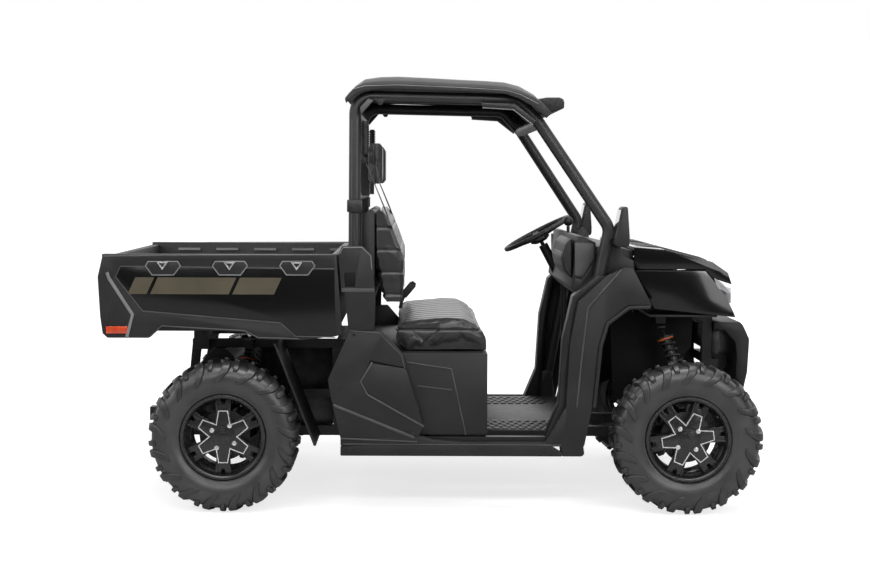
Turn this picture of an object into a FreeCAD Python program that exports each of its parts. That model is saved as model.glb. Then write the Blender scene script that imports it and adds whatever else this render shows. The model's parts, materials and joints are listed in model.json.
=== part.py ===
import FreeCAD, Part
import math
import os

# Side by side utility vehicle with a bench seat, a roll cage with a roof and a tipping cargo bed.
# +X is forward, +Y is the vehicle's left, +Z is up, all in millimetres.
# The origin lies on the ground, midway along the overall length.

Vec = FreeCAD.Vector
X_AXIS = Vec(1, 0, 0)
Y_AXIS = Vec(0, 1, 0)
Z_AXIS = Vec(0, 0, 1)
FULL_TURN = 360.0
HALF_TURN = 180.0

# Driving dimensions
overall_length = 3025.0
overall_width = 1610.0
wheelbase = 2050.0
rear_overhang = 555.0
body_half = 735.0
tyre_radius = 336.0
front_tyre_width = 230.0
rear_tyre_width = 280.0
rear_track = 1300.0
rim_radius = 178.0
frame_base = 262.0
floor_height = 320.0
bed_length = 1055.0
bed_base = 800.0
bed_floor = 842.0
bed_rim = 1140.0
cage_half_low = 665.0
cage_half_high = 612.0
cage_top = 1846.0
overrun = 10.0
running_gap = 6.0
seat_gap = 0.3

rear_end = -overall_length / 2
front_end = overall_length / 2
rear_axle = rear_end + rear_overhang
front_axle = rear_axle + wheelbase
front_half_track = (overall_width - front_tyre_width) / 2
rear_half_track = rear_track / 2


# Shape helpers
def box(x0, x1, y0, y1, z0, z1):
    return Part.makeBox(x1 - x0, y1 - y0, z1 - z0, Vec(x0, y0, z0))


def wire_of(points):
    return Part.makePolygon(list(points) + [points[0]])


def prism(points, direction):
    face = Part.Face(wire_of(points))
    return face.extrude(direction)


def side_prism(outline, y0, y1):
    """An outline of (x, z) points, extruded from y0 to y1."""
    return prism([Vec(x, y0, z) for x, z in outline], Vec(0, y1 - y0, 0))


def plan_prism(outline, z0, z1):
    """An outline of (x, y) points, extruded from z0 to z1."""
    return prism([Vec(x, y, z0) for x, y in outline], Vec(0, 0, z1 - z0))


def front_prism(outline, x0, x1):
    """An outline of (y, z) points, extruded from x0 to x1."""
    return prism([Vec(x0, y, z) for y, z in outline], Vec(x1 - x0, 0, 0))


def rod(start, end, radius):
    axis = end - start
    return Part.makeCylinder(radius, axis.Length, start, axis)


def bent_path(points, radii):
    """A wire of straight runs joined by tangent arcs, one radius for each inner point."""
    edges = []
    at = points[0]
    for i in range(1, len(points) - 1):
        corner = points[i]
        into = (points[i - 1] - corner).normalize()
        out = (points[i + 1] - corner).normalize()
        half = into.getAngle(out) / 2
        reach = radii[i - 1] / math.tan(half)
        first = corner + into * reach
        last = corner + out * reach
        bisector = (into + out).normalize()
        middle = corner + bisector * (radii[i - 1] / math.sin(half) - radii[i - 1])
        edges.append(Part.LineSegment(at, first).toShape())
        edges.append(Part.Arc(first, middle, last).toShape())
        at = last
    edges.append(Part.LineSegment(at, points[-1]).toShape())
    return Part.Wire(edges)


def tube_along(points, radii, radius):
    path = bent_path(points, radii)
    start = points[0]
    normal = (points[1] - start).normalize()
    ring = Part.Wire([Part.makeCircle(radius, start, normal)])
    return path.makePipeShell([ring], True, False)


def fuse(shapes):
    first = shapes[0]
    whole = first.multiFuse(shapes[1:]) if len(shapes) > 1 else first
    return whole.removeSplitter()


def both_sides(right):
    """The right-hand solid and its mirror image on the left."""
    return [right, mirrored(right)]


def mirrored(shape):
    return shape.mirror(Vec(0, 0, 0), Y_AXIS)


def placed(shape, x=0.0, y=0.0, z=0.0):
    copy = shape.copy()
    copy.translate(Vec(x, y, z))
    return copy


def turned(shape, centre, axis, degrees):
    copy = shape.copy()
    copy.rotate(centre, axis, degrees)
    return copy


def outline_from(shares, x0, z0, length, height):
    """Turns (length share, height share) pairs into real points."""
    return [(x0 + a * length, z0 + b * height) for a, b in shares]


def solids_of(shapes):
    found = []
    for shape in shapes:
        found.extend(shape.Solids)
    return found


def export(name, shapes):
    solids = solids_of(shapes)
    whole = solids[0] if len(solids) == 1 else Part.makeCompound(solids)
    whole.exportStep(os.path.join("parts", name + ".step"))


# Wheels
lug_depth = 17.0
lug_count = 17
lug_length = 34.0
lug_lap = 58.0
rim_wall = 9.0
rim_flange = 15.0
spoke_count = 6
spoke_thickness = 22.0
spoke_inset = 26.0
spoke_neck_share = 0.15
spoke_foot_share = 0.24
hub_radius = 62.0
hub_cap_radius = 31.0
hub_cap_height = 16.0
stud_circle_radius = 55.0
nut_radius = 9.0
nut_height = 12.0
nut_count = 4
nut_sides = 6
disc_radius = 112.0
disc_thickness = 8.0
disc_gap = 34.0
disc_sides = 24
spindle_radius = 24.0
spindle_reach = 32.0
tyre_profile_shares = [(0.36, 0.0), (0.47, 0.45), (0.38, 1.0)]


def ring_of_flats(profile, count):
    """A closed outline of (y, radius) points carried round the Y axis on flats, one for each sector."""
    half_turn = math.pi / count
    corner = 1 / math.cos(half_turn)
    faces = []
    solid_rings = []
    for i in range(count):
        ends = []
        for turn in (half_turn * (2 * i - 1), half_turn * (2 * i + 1)):
            ends.append([Vec(r * corner * math.sin(turn), y, r * corner * math.cos(turn)) for y, r in profile])
        for j in range(len(profile)):
            k = (j + 1) % len(profile)
            faces.append(Part.Face(wire_of([ends[0][j], ends[0][k], ends[1][k], ends[1][j]])))
    shell = Part.makeShell(faces)
    shell.sewShape()
    solid = Part.makeSolid(shell)
    if solid.Volume < 0:
        solid.reverse()
    return solid


def polygon_rod(centre_x, centre_z, y0, y1, radius, sides):
    points = []
    for i in range(sides):
        turn = 2 * math.pi * i / sides
        points.append(Vec(centre_x + radius * math.sin(turn), y0, centre_z + radius * math.cos(turn)))
    return prism(points, Vec(0, y1 - y0, 0))


def tyre(width):
    """A tyre centred on the origin, with its axle along Y."""
    carcass = tyre_radius - lug_depth
    depth = carcass - rim_radius
    half = [(a * width, rim_radius + b * depth) for a, b in tyre_profile_shares]
    other = [(-y, r) for y, r in reversed(half)]
    body = ring_of_flats(half + other, lug_count * 2)
    lug_half = lug_length / 2
    shoulder = width / 2
    low = tyre_radius - lug_lap
    block = [
        (lug_depth / 2, carcass - lug_depth),
        (lug_depth / 2, tyre_radius),
        (shoulder - lug_depth, tyre_radius),
        (shoulder, tyre_radius - lug_depth),
        (shoulder, low),
        (shoulder - lug_depth * 2, low - lug_depth),
    ]
    lug = prism([Vec(-lug_half, y, z) for y, z in block], Vec(lug_length, 0, 0))
    lugs = []
    step = FULL_TURN / lug_count
    for i in range(lug_count):
        lugs.append(turned(lug, Vec(0, 0, 0), Y_AXIS, step * i))
        lugs.append(turned(mirrored(lug), Vec(0, 0, 0), Y_AXIS, step * (i + 0.5)))
    return fuse([body] + lugs)


def rim_half(width):
    """Half the width between the rim's flanges, where they meet the side wall of the tyre."""
    foot, belly = tyre_profile_shares[0], tyre_profile_shares[1]
    depth = tyre_radius - lug_depth - rim_radius
    rise = rim_flange / (belly[1] * depth)
    return width * (foot[0] + (belly[0] - foot[0]) * rise)


def rim(width):
    """A rim with its hub and brake disc, whose face looks along +Y."""
    half = rim_half(width)
    outer = rim_radius - seat_gap
    inner = outer - rim_wall
    lip = outer + rim_flange
    edge = half + rim_wall
    barrel = [
        (-edge, inner),
        (-edge, lip),
        (-half - seat_gap, lip),
        (-half - seat_gap, outer),
        (half + seat_gap, outer),
        (half + seat_gap, lip),
        (edge, lip),
        (edge, inner),
    ]
    face_y = edge - spoke_inset
    back_y = face_y - spoke_thickness
    pieces = [ring_of_flats(barrel, lug_count * 2)]
    neck = math.radians(FULL_TURN / spoke_count * spoke_neck_share)
    foot = math.radians(FULL_TURN / spoke_count * spoke_foot_share)
    reach = inner + rim_wall / 2
    star = []
    for i in range(spoke_count):
        middle = math.radians(FULL_TURN / spoke_count * i)
        for radius, angle in ((hub_radius, -neck), (reach, -foot), (reach, foot), (hub_radius, neck)):
            turn = middle + angle
            star.append(Vec(radius * math.sin(turn), back_y, radius * math.cos(turn)))
    pieces.append(prism(star, Vec(0, spoke_thickness, 0)))
    pieces.append(polygon_rod(0, 0, face_y - rim_wall, face_y + hub_cap_height, hub_cap_radius, disc_sides))
    for i in range(nut_count):
        turn = math.radians(FULL_TURN / nut_count * (i + 0.5))
        x = stud_circle_radius * math.sin(turn)
        z = stud_circle_radius * math.cos(turn)
        pieces.append(polygon_rod(x, z, face_y - rim_wall, face_y + nut_height, nut_radius, nut_sides))
    disc_y = back_y - disc_gap
    pieces.append(polygon_rod(0, 0, disc_y - disc_thickness, disc_y, disc_radius, disc_sides))
    pieces.append(polygon_rod(0, 0, disc_y - disc_thickness, back_y + rim_wall, hub_radius, disc_sides))
    bore = rod(Vec(0, disc_y - disc_thickness - overrun, 0), Vec(0, disc_y + spindle_reach + seat_gap, 0),
               spindle_radius + seat_gap)
    return fuse(pieces).cut(bore)


def hub_back(half_track, width):
    """How far from the centre line the back of a wheel's brake disc lies."""
    edge = rim_half(width) + rim_wall
    return half_track + edge - spoke_inset - spoke_thickness - disc_gap - disc_thickness


def export_wheels():
    for end, axle, half_track, width in (
        ("front", front_axle, front_half_track, front_tyre_width),
        ("rear", rear_axle, rear_half_track, rear_tyre_width),
    ):
        rubber = placed(tyre(width), axle, half_track, tyre_radius)
        metal = placed(rim(width), axle, half_track, tyre_radius)
        export("tyre_" + end + "_left", [rubber])
        export("tyre_" + end + "_right", [mirrored(rubber)])
        export("rim_" + end + "_left", [metal])
        export("rim_" + end + "_right", [mirrored(metal)])



# Chassis frame
rail_half_gap = 210.0
rail_size = 46.0
rail_rear = -1230.0
rail_front = 1290.0
cross_places_shares = [0.0, 0.101, 0.26, 0.42, 0.70, 0.93, 1.0]
upper_rail_half_gap = 330.0
upper_rail_base = 690.0
upper_rail_size = 40.0
upper_rail_front = -430.0
pivot_x = -1095.0
pivot_z = 762.0
pivot_radius = 10.0
post_half_gap = 420.0
post_width = 70.0
post_thickness = 16.0
nose_frame_height = 862.0
nose_frame_half_gap = 240.0
nose_frame_rear = 940.0
arm_rail_z = 470.0
arm_rail_half_gap = 220.0
rear_arm_rail_half_gap = 265.0
upper_rail_rear = -1147.0
shock_mount_x = 1021.0
shock_mount_z = 850.0
shock_mount_half_gap = 430.0
sill_half_gap = body_half - 52.3
sill_size = 36.0


def beam(start, end, size):
    """A square tube between two points, with its section turned to lie flat."""
    axis = end - start
    square = [Vec(-size / 2, -size / 2, 0), Vec(size / 2, -size / 2, 0),
              Vec(size / 2, size / 2, 0), Vec(-size / 2, size / 2, 0)]
    solid = prism(square, Vec(0, 0, axis.Length))
    turn = FreeCAD.Rotation(Z_AXIS, axis)
    solid.Placement = FreeCAD.Placement(start, turn)
    return solid


def chassis_frame():
    half = rail_size / 2
    middle = frame_base + half
    pieces = []
    length = rail_front - rail_rear
    for sign in (-1, 1):
        y = sign * rail_half_gap
        pieces.append(box(rail_rear, rail_front, y - half, y + half, frame_base, frame_base + rail_size))
        upper = sign * upper_rail_half_gap
        top = upper_rail_base + upper_rail_size
        side = upper_rail_size / 2
        pieces.append(box(upper_rail_rear, upper_rail_front, upper - side, upper + side, upper_rail_base, top))
        sill = sign * sill_half_gap
        pieces.append(box(upper_rail_front, sill_front, sill - sill_size / 2, sill + sill_size / 2,
                          frame_base + sill_size, frame_base + sill_size * 2))
        rear_foot = rail_rear + rail_size
        rear_top = upper_rail_rear + side
        front_post = upper_rail_front - rail_size
        pieces.append(beam(Vec(rear_foot, y, middle), Vec(rear_top, upper, upper_rail_base + side), upper_rail_size))
        pieces.append(beam(Vec(front_post, y, middle), Vec(front_post, upper, upper_rail_base + side),
                           upper_rail_size))
        arm_y = sign * arm_rail_half_gap
        pieces.append(beam(Vec(nose_frame_rear, arm_y, arm_rail_z), Vec(rail_front - half, arm_y, arm_rail_z),
                           upper_rail_size))
        arm_y = sign * rear_arm_rail_half_gap
        pieces.append(beam(Vec(rear_top, arm_y, arm_rail_z), Vec(front_post, arm_y, arm_rail_z), upper_rail_size))
        nose = sign * nose_frame_half_gap
        pieces.append(beam(Vec(nose_frame_rear, y, middle), Vec(nose_frame_rear, nose, nose_frame_height), rail_size))
        pieces.append(beam(Vec(nose_frame_rear, nose, nose_frame_height - half),
                           Vec(rail_front - half, nose, nose_frame_height - half), rail_size))
        pieces.append(beam(Vec(rail_front - half, y, middle), Vec(rail_front - half, nose, nose_frame_height - half),
                           rail_size))
        mount = sign * shock_mount_half_gap
        pieces.append(beam(Vec(shock_mount_x, nose, nose_frame_height - half),
                           Vec(shock_mount_x, mount, nose_frame_height - half), rail_size))
        outer = sign * post_half_gap
        pieces.append(box(pivot_x - post_width / 2, pivot_x + post_width / 2,
                          outer - post_thickness / 2, outer + post_thickness / 2,
                          upper_rail_base, pivot_z + pivot_radius * 2))
        pieces.append(beam(Vec(pivot_x, upper, upper_rail_base + side), Vec(pivot_x, outer, upper_rail_base + side),
                           upper_rail_size))
        pieces.append(rod(Vec(pivot_x, sign * (post_half_gap - pivot_reach), pivot_z),
                          Vec(pivot_x, sign * (post_half_gap + post_thickness), pivot_z), pivot_radius))
        rear_mount = sign * rear_shock_half_gap
        pieces.append(beam(Vec(rear_shock_top_x, upper, upper_rail_base + side),
                           Vec(rear_shock_top_x, rear_mount, upper_rail_base + side), upper_rail_size))
    for share in cross_places_shares:
        x = rail_rear + half + share * (length - rail_size)
        pieces.append(box(x - half, x + half, -rail_half_gap, rail_half_gap, frame_base, frame_base + rail_size))
    for x in (upper_rail_rear + half, upper_rail_front - half):
        pieces.append(box(x - half, x + half, -upper_rail_half_gap, upper_rail_half_gap,
                          upper_rail_base, upper_rail_base + upper_rail_size))
    for x in (upper_rail_front + rail_size, sill_front - rail_size):
        pieces.append(box(x - half, x + half, -sill_half_gap, sill_half_gap,
                          frame_base + sill_size, frame_base + sill_size * 2))
    pieces.append(box(rail_front - rail_size, rail_front, -nose_frame_half_gap, nose_frame_half_gap,
                      nose_frame_height - rail_size, nose_frame_height))
    return fuse(pieces)


# Hitch receiver
hitch_outer = 64.0
hitch_bore = 51.0
hitch_length = 230.0
hitch_rear = -1400.0
hitch_base = 300.0
hitch_pin_radius = 8.1
hitch_pin_inset = 64.0
hitch_plate = 12.0


def hitch_receiver():
    half = hitch_outer / 2
    front = rail_rear - seat_gap
    x1 = front
    tube = box(hitch_rear, x1, -half, half, hitch_base, hitch_base + hitch_outer)
    inner = (hitch_outer - hitch_bore) / 2
    hollow = box(hitch_rear - overrun, x1 - hitch_plate, -half + inner, half - inner,
                 hitch_base + inner, hitch_base + hitch_outer - inner)
    plate = box(x1 - hitch_plate, x1, -rail_half_gap, rail_half_gap, frame_base, hitch_base + hitch_outer)
    pin_x = hitch_rear + hitch_pin_inset
    pin_z = hitch_base + half
    pin = rod(Vec(pin_x, -half - overrun, pin_z), Vec(pin_x, half + overrun, pin_z), hitch_pin_radius)
    return fuse([tube, plate]).cut(hollow).cut(pin)


# Floor, rockers and seat base
floor_rear = -160.0
floor_front = 640.0
floor_thickness = 8.0
toe_board_height = 700.0
toe_board_lean = 90.0
sill_front = 620.0
rocker_rear = -440.0
rocker_base = 252.0
rocker_top = 327.0
panel_thickness = 34.0
seat_base_front = 211.0
seat_base_top = 705.0
seat_base_rear = -400.0
seat_base_wall = 14.0


def floor_pan():
    half = body_half - panel_thickness - seat_gap
    base = frame_base + sill_size * 2
    top = base + floor_thickness
    outline = [
        (floor_rear, base),
        (floor_front, base),
        (floor_front + toe_board_lean, toe_board_height),
        (floor_front + toe_board_lean - floor_thickness, toe_board_height),
        (floor_front - floor_thickness, top),
        (floor_rear, top),
    ]
    return side_prism(outline, -front_well_half, front_well_half)


def rocker_panel():
    """The right-hand sill cover, from the rear wheel to the front fender."""
    outline = [
        (rocker_rear, rocker_base),
        (fender_rear - seat_gap, rocker_base),
        (fender_rear - seat_gap, rocker_base + panel_thickness / 2),
        (fender_rear - panel_thickness * 2, rocker_top - panel_thickness / 2),
        (floor_rear, rocker_top - panel_thickness / 2),
        (rocker_rear, rocker_top - panel_thickness),
    ]
    return side_prism(outline, -body_half, -body_half + panel_thickness)


# Quarter panels: the body side behind each door opening. Shares of the panel's length and height
quarter_length = 440.0
quarter_base = 330.0
quarter_height = 478.0
quarter_shares = [
    (0.0, 0.0), (0.78, 0.0), (0.84, 0.12), (0.67, 0.65), (0.63, 0.78), (0.42, 1.0),
    (0.09, 1.0), (-0.13, 0.54), (-0.08, 0.30),
]
quarter_recess_shares = [(0.33, 0.42), (0.84, 0.12), (0.67, 0.65), (0.30, 0.72), (0.22, 0.53)]
recess_depth = 8.0
front_well_half = 560.0


def quarter_panel():
    outline = outline_from(quarter_shares, rocker_rear, quarter_base, quarter_length, quarter_height)
    panel = side_prism(outline, -body_half, -body_half + panel_thickness)
    recess = outline_from(quarter_recess_shares, rocker_rear, quarter_base, quarter_length, quarter_height)
    cut = side_prism(recess, -body_half - overrun, -body_half + recess_depth)
    return panel.cut(cut)


def seat_base():
    half = body_half - panel_thickness - seat_gap
    front = seat_base_front
    base = frame_base + sill_size * 2 + floor_thickness + seat_gap
    outer = box(seat_base_rear, front, -half, half, base, seat_base_top)
    wall = seat_base_wall
    inner = box(seat_base_rear + wall, front - wall, -half + wall, half - wall, base - overrun, seat_base_top - wall)
    return outer.cut(inner)


# Pillar covers: the caps that carry the cage's rear feet
cover_rear = -450.0
cover_length = 163.0
cover_base = 808.0
cover_height = 372.0
cover_depth = 40.0
cover_shares = [
    (0.27, 0.0), (0.98, 0.0), (1.0, 0.45), (0.93, 0.72), (0.90, 0.89), (0.64, 1.0), (0.09, 1.0), (0.0, 0.90),
    (0.07, 0.50), (0.17, 0.45),
]
pocket_shares = [(0.18, 0.53), (0.18, 0.68), (0.45, 0.68), (0.45, 0.53)]


def pillar_cover():
    outline = outline_from(cover_shares, cover_rear, cover_base + seat_gap, cover_length, cover_height)
    cover = side_prism(outline, -body_half, -body_half + cover_depth)
    pocket = outline_from(pocket_shares, cover_rear, cover_base, cover_length, cover_height)
    return cover.cut(side_prism(pocket, -body_half - overrun, -body_half + recess_depth))


# Seats
cushion_half = 640.0
cushion_rear = -216.0
cushion_length = 440.0
cushion_base = 705.0
cushion_height = 200.0
cushion_shares = [(0.0, 0.37), (0.13, 0.0), (1.0, 0.0), (1.0, 0.40), (0.95, 0.68), (0.74, 0.98), (0.55, 1.0),
                  (0.07, 0.87), (0.02, 0.77)]
cushion_split = -213.0
cushion_seam = 8.0
seat_bracket_places_shares = [-0.66, 0.2, 0.75]
back_base = 915.0
back_height = 430.0
back_depth = 78.0
back_front = -170.0
back_lean = 82.0
headrest_half_gap = 400.0
headrest_width = 260.0
headrest_base = 1450.0
headrest_height = 195.0
headrest_depth = 55.0
headrest_x = -322.0


def across(outline, half, split, seam):
    """A bench section cut in two, one short part on the right and one long part on the left."""
    return [side_prism(outline, -half, split - seam / 2), side_prism(outline, split + seam / 2, half)]


def seat_cushions():
    outline = outline_from(cushion_shares, cushion_rear, cushion_base + seat_gap, cushion_length, cushion_height)
    return across(outline, cushion_half, cushion_split, cushion_seam)


def seat_backs():
    top = back_base + back_height
    outline = [
        (back_front, back_base),
        (back_front, back_base + back_height / 2),
        (back_front - back_lean, top),
        (back_front - back_lean - back_depth / 2, top),
        (back_front - back_depth - back_lean / 2, back_base + back_height / 2),
        (back_front - back_depth, back_base),
    ]
    return across(outline, cushion_half, cushion_split, cushion_seam)


def headrests():
    pads = []
    for sign in (-1, 1):
        y = sign * headrest_half_gap
        pads.append(box(headrest_x, headrest_x + headrest_depth, y - headrest_width / 2, y + headrest_width / 2,
                        headrest_base, headrest_base + headrest_height))
    return pads


# Roll cage
hoop_x = -382.0
hoop_foot = seat_base_top + seat_gap
cage_tube_radius = 27.0
cage_bend = 75.0
front_bend_x = 345.0
front_bend_z = 1832.0
brow_x = 440.0
brow_z = 1730.0
pillar_knee_x = 752.0
pillar_knee_z = 1262.0
pillar_ankle_x = 690.0
pillar_ankle_z = 960.0
pillar_heel_z = 430.0
pillar_foot_x = 592.0
pillar_foot_z = frame_base + sill_size * 2 + seat_gap
belt_bar_z = 1400.0
lower_bar_z = 1010.0
dash_bar_x = 727.0
dash_bar_z = 1150.0


def hoop(radius=cage_tube_radius):
    """The right-hand side frame of the cage, from behind the seat over the roof to the cowl."""
    points = [
        Vec(hoop_x, -cage_half_low, hoop_foot),
        Vec(hoop_x, -cage_half_low, cover_base + cover_height),
        Vec(hoop_x, -cage_half_high, cage_top),
        Vec(front_bend_x, -cage_half_high, front_bend_z),
        Vec(brow_x, -cage_half_high, brow_z),
        Vec(pillar_knee_x, -cage_half_low, pillar_knee_z),
        Vec(pillar_ankle_x, -cage_half_low, pillar_ankle_z),
        Vec(pillar_foot_x, -cage_half_low, pillar_heel_z),
        Vec(pillar_foot_x, -cage_half_low, pillar_foot_z),
    ]
    bends = [cage_bend] * (len(points) - 2)
    return tube_along(points, bends, radius)


def hoop_half_at(z):
    """The distance of the rear upright from the centre line at a height."""
    low = cover_base + cover_height
    share = (z - low) / (cage_top - low)
    return cage_half_low + max(share, 0) * (cage_half_high - cage_half_low)


def cage_crossbars():
    bars = []
    radius = cage_tube_radius
    for x, z, half in (
        (hoop_x, cage_top - radius * 3, hoop_half_at(cage_top)),
        (hoop_x, belt_bar_z, hoop_half_at(belt_bar_z)),
        (hoop_x, lower_bar_z, hoop_half_at(lower_bar_z)),
        (brow_x, brow_z, cage_half_high),
        (dash_bar_x, dash_bar_z, cage_half_low),
    ):
        bars.append(rod(Vec(x, -half, z), Vec(x, half, z), radius))
    for y in seat_bracket_places_shares:
        middle = y * cushion_half
        rise = (lower_bar_z + radius / 2 - back_base) / back_height
        reach = back_front - back_depth - back_lean * rise - seat_gap
        bars[2] = bars[2].fuse(box(hoop_x, reach, middle - radius, middle + radius, lower_bar_z - radius / 2,
                                   lower_bar_z + radius / 2))
    for sign in (-1, 1):
        middle = sign * headrest_half_gap
        bars[1] = bars[1].fuse(box(hoop_x - radius / 2, headrest_x - seat_gap, middle - radius, middle + radius,
                                   belt_bar_z, headrest_base + headrest_height / 2))
    clearance = hoop(radius + seat_gap)
    cutters = clearance.fuse(mirrored(clearance))
    return [trimmed(bar, cutters) for bar in bars]


def trimmed(bar, cutters):
    """A bar coped to the side frames, without the ends that lie beyond them."""
    pieces = bar.cut(cutters).Solids
    return max(pieces, key=lambda piece: piece.Volume)


# Roof
roof_rear = -431.0
roof_front = 500.0
roof_base = 1872.0
roof_side_height = 40.0
roof_crown = 90.0
roof_half = 690.0
roof_wall = 12.0
roof_rib_width = 40.0
visor_front = 556.0
visor_drop = 70.0


def roof_section(inset):
    """The arched section of the roof, drawn in by an inset, as (y, z) points on an arc."""
    half = roof_half - inset
    side = roof_base + roof_side_height - inset
    crown = roof_base + roof_crown - inset
    arc = Part.Arc(Vec(roof_rear + inset, -half, side), Vec(roof_rear + inset, 0, crown),
                   Vec(roof_rear + inset, half, side)).toShape()
    base = roof_base if inset == 0 else roof_base - overrun
    down = [Vec(roof_rear + inset, half, side), Vec(roof_rear + inset, half, base),
            Vec(roof_rear + inset, -half, base), Vec(roof_rear + inset, -half, side)]
    face = Part.Face(Part.Wire([arc] + Part.makePolygon(down).Edges))
    return face.extrude(Vec(roof_front - roof_rear - inset * 2, 0, 0))


def roof_panel():
    shell = roof_section(0.0).cut(roof_section(roof_wall))
    edge = roof_base + roof_side_height
    visor = side_prism([
        (roof_front - roof_wall, edge),
        (visor_front, edge - visor_drop),
        (visor_front, edge - visor_drop - roof_wall),
        (roof_front - roof_wall, roof_base - roof_wall * 2),
    ], -roof_half + roof_wall * 4, roof_half - roof_wall * 4)
    pieces = [shell, visor]
    fall = (cage_top - front_bend_z) * cage_bend / (front_bend_x - hoop_x)
    tube_top = cage_top - fall + cage_tube_radius + seat_gap
    for sign in (-1, 1):
        y = sign * cage_half_high
        rib = box(hoop_x + cage_bend, front_bend_x - cage_bend, y - roof_rib_width / 2, y + roof_rib_width / 2,
                  tube_top, roof_base + roof_side_height)
        pieces.append(rib)
    return fuse(pieces)


# Dash, steering and controls
dash_rear = 590.0
dash_base = 936.0
dash_top = 1222.0
dash_half = 600.0
dash_front = dash_bar_x - cage_tube_radius - seat_gap
wheel_centre = Vec(511.0, 350.0, 1204.0)
hub_drop = 46.0
column_lean = 27.7
steering_radius = 170.0
steering_tube = 15.0
column_radius = 24.0
column_length = 190.0
spoke_width = 42.0
hub_thickness = 26.0
ring_section_sides = 8
ring_sides = 32


def column_axis():
    turn = math.radians(column_lean)
    return Vec(math.sin(turn), 0, -math.cos(turn))


def dash_panel():
    depth = dash_front - dash_rear
    outline = [
        (dash_rear, dash_base + depth / 2),
        (dash_rear + depth / 2, dash_base),
        (dash_front, dash_base),
        (dash_front, dash_top - depth / 4),
        (dash_rear + depth / 2, dash_top),
        (dash_rear + depth / 4, dash_top),
    ]
    panel = side_prism(outline, -dash_half, dash_half)
    axis = column_axis()
    sleeve = rod(wheel_centre, wheel_centre + axis * column_length * 2, column_radius + seat_gap)
    lever_hole = rod(Vec(lever_x, lever_y, lever_foot), Vec(lever_x, lever_y, lever_top), lever_radius + seat_gap)
    return panel.cut(sleeve).cut(lever_hole)


def steering_column():
    axis = column_axis()
    start = wheel_centre + axis * (hub_drop + hub_thickness / 2 + running_gap)
    column = rod(start, start + axis * column_length, column_radius)
    tip = rod(start - axis * (running_gap + hub_thickness / 2), start + axis * overrun, shock_rod_radius)
    return fuse([column, tip])


def steering_wheel():
    """The rim as a many-sided ring, with a hub set below it and three spokes."""
    axis = column_axis()
    side = Y_AXIS
    down = axis.cross(side)
    middle = steering_radius
    tube = steering_tube
    octagon = []
    for i in range(ring_section_sides):
        turn = 2 * math.pi * (i + 0.5) / ring_section_sides
        octagon.append((tube * math.cos(turn), middle + tube * math.sin(turn)))
    ring = ring_of_flats(octagon, ring_sides)
    hub = rod(Vec(0, -hub_drop - hub_thickness / 2, 0), Vec(0, -hub_drop + hub_thickness / 2, 0), spoke_width)
    bore = rod(Vec(0, -hub_drop - hub_thickness, 0), Vec(0, -hub_drop + hub_thickness / 4, 0),
               shock_rod_radius + seat_gap)
    pieces = [ring, hub]
    for turn in (0.0, FULL_TURN / 4, -FULL_TURN / 4):
        spoke = beam(Vec(0, -hub_drop, 0), Vec(0, -tube / 4, middle), hub_thickness / 2)
        pieces.append(turned(spoke, Vec(0, 0, 0), Y_AXIS, turn + FULL_TURN / 2))
    whole = fuse(pieces).cut(bore)
    whole.Placement = FreeCAD.Placement(wheel_centre, FreeCAD.Rotation(Y_AXIS * -1, axis))
    return whole


# Driver controls
lever_x = 640.0
lever_y = 60.0
lever_foot = 1100.0
lever_top = 1250.0
lever_radius = 8.0
knob_radius = 24.0
pedal_height = 480.0


def driver_controls():
    lever = fuse([
        rod(Vec(lever_x, lever_y, lever_foot + seat_gap), Vec(lever_x, lever_y, lever_top), lever_radius),
        Part.makeSphere(knob_radius, Vec(lever_x, lever_y, lever_top + knob_radius)),
    ])
    pedals = [lever]
    arm_x = dash_front - (dash_front - dash_rear) / 2 + knob_radius / 2
    for y in (wheel_centre.y - knob_radius * 3, wheel_centre.y + knob_radius * 3):
        pad = box(arm_x - lever_radius, arm_x, y - knob_radius, y + knob_radius,
                  pedal_height, pedal_height + knob_radius * 4)
        arm = rod(Vec(arm_x - lever_radius, y, pedal_height + knob_radius * 2),
                  Vec(arm_x - lever_radius, y, dash_base - seat_gap), lever_radius)
        pedals.append(fuse([pad, arm]))
    return pedals


# Front body
fender_rear = 541.0
fender_length = 395.0
fender_base = 252.0
fender_height = 836.0
fender_shares = [
    (0.0, 0.0), (0.17, 0.006), (0.25, 0.06), (0.33, 0.25), (0.41, 0.59), (0.48, 0.70), (0.72, 0.80), (1.0, 0.80),
    (0.78, 1.0), (0.67, 1.0), (0.49, 0.96), (0.17, 0.82), (0.08, 0.60), (0.04, 0.26),
]
side_rear = 869.0
side_length = 453.0
side_base = 864.0
side_height = 208.0
side_half = 640.0
side_thickness = 20.0
side_shares = [(0.0, 1.0), (0.70, 1.0), (0.77, 0.82), (0.89, 0.50), (0.98, 0.11), (1.0, 0.0), (0.20, 0.18)]
hood_rear = 866.0
hood_length = 438.0
hood_thickness = 14.0
hood_top = 1177.0
hood_drop = 163.0
hood_half_front = 470.0
hood_shares = [(0.0, 1.0), (0.32, 0.93), (0.80, 0.60), (0.96, 0.30), (1.0, -0.02)]
fascia_front = 1330.0
hinge_half_gap = 300.0
hinge_thickness = 10.0
hinge_x = 1276.0
hinge_z = 984.0
hinge_eye_radius = 9.0
hinge_pin_radius = 4.0


def front_fender():
    outline = outline_from(fender_shares, fender_rear, fender_base, fender_length, fender_height)
    return side_prism(outline, -body_half, -body_half + panel_thickness)


def front_side_panel():
    outline = outline_from(side_shares, side_rear, side_base, side_length, side_height)
    return side_prism(outline, -side_half, -side_half + side_thickness)


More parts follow.
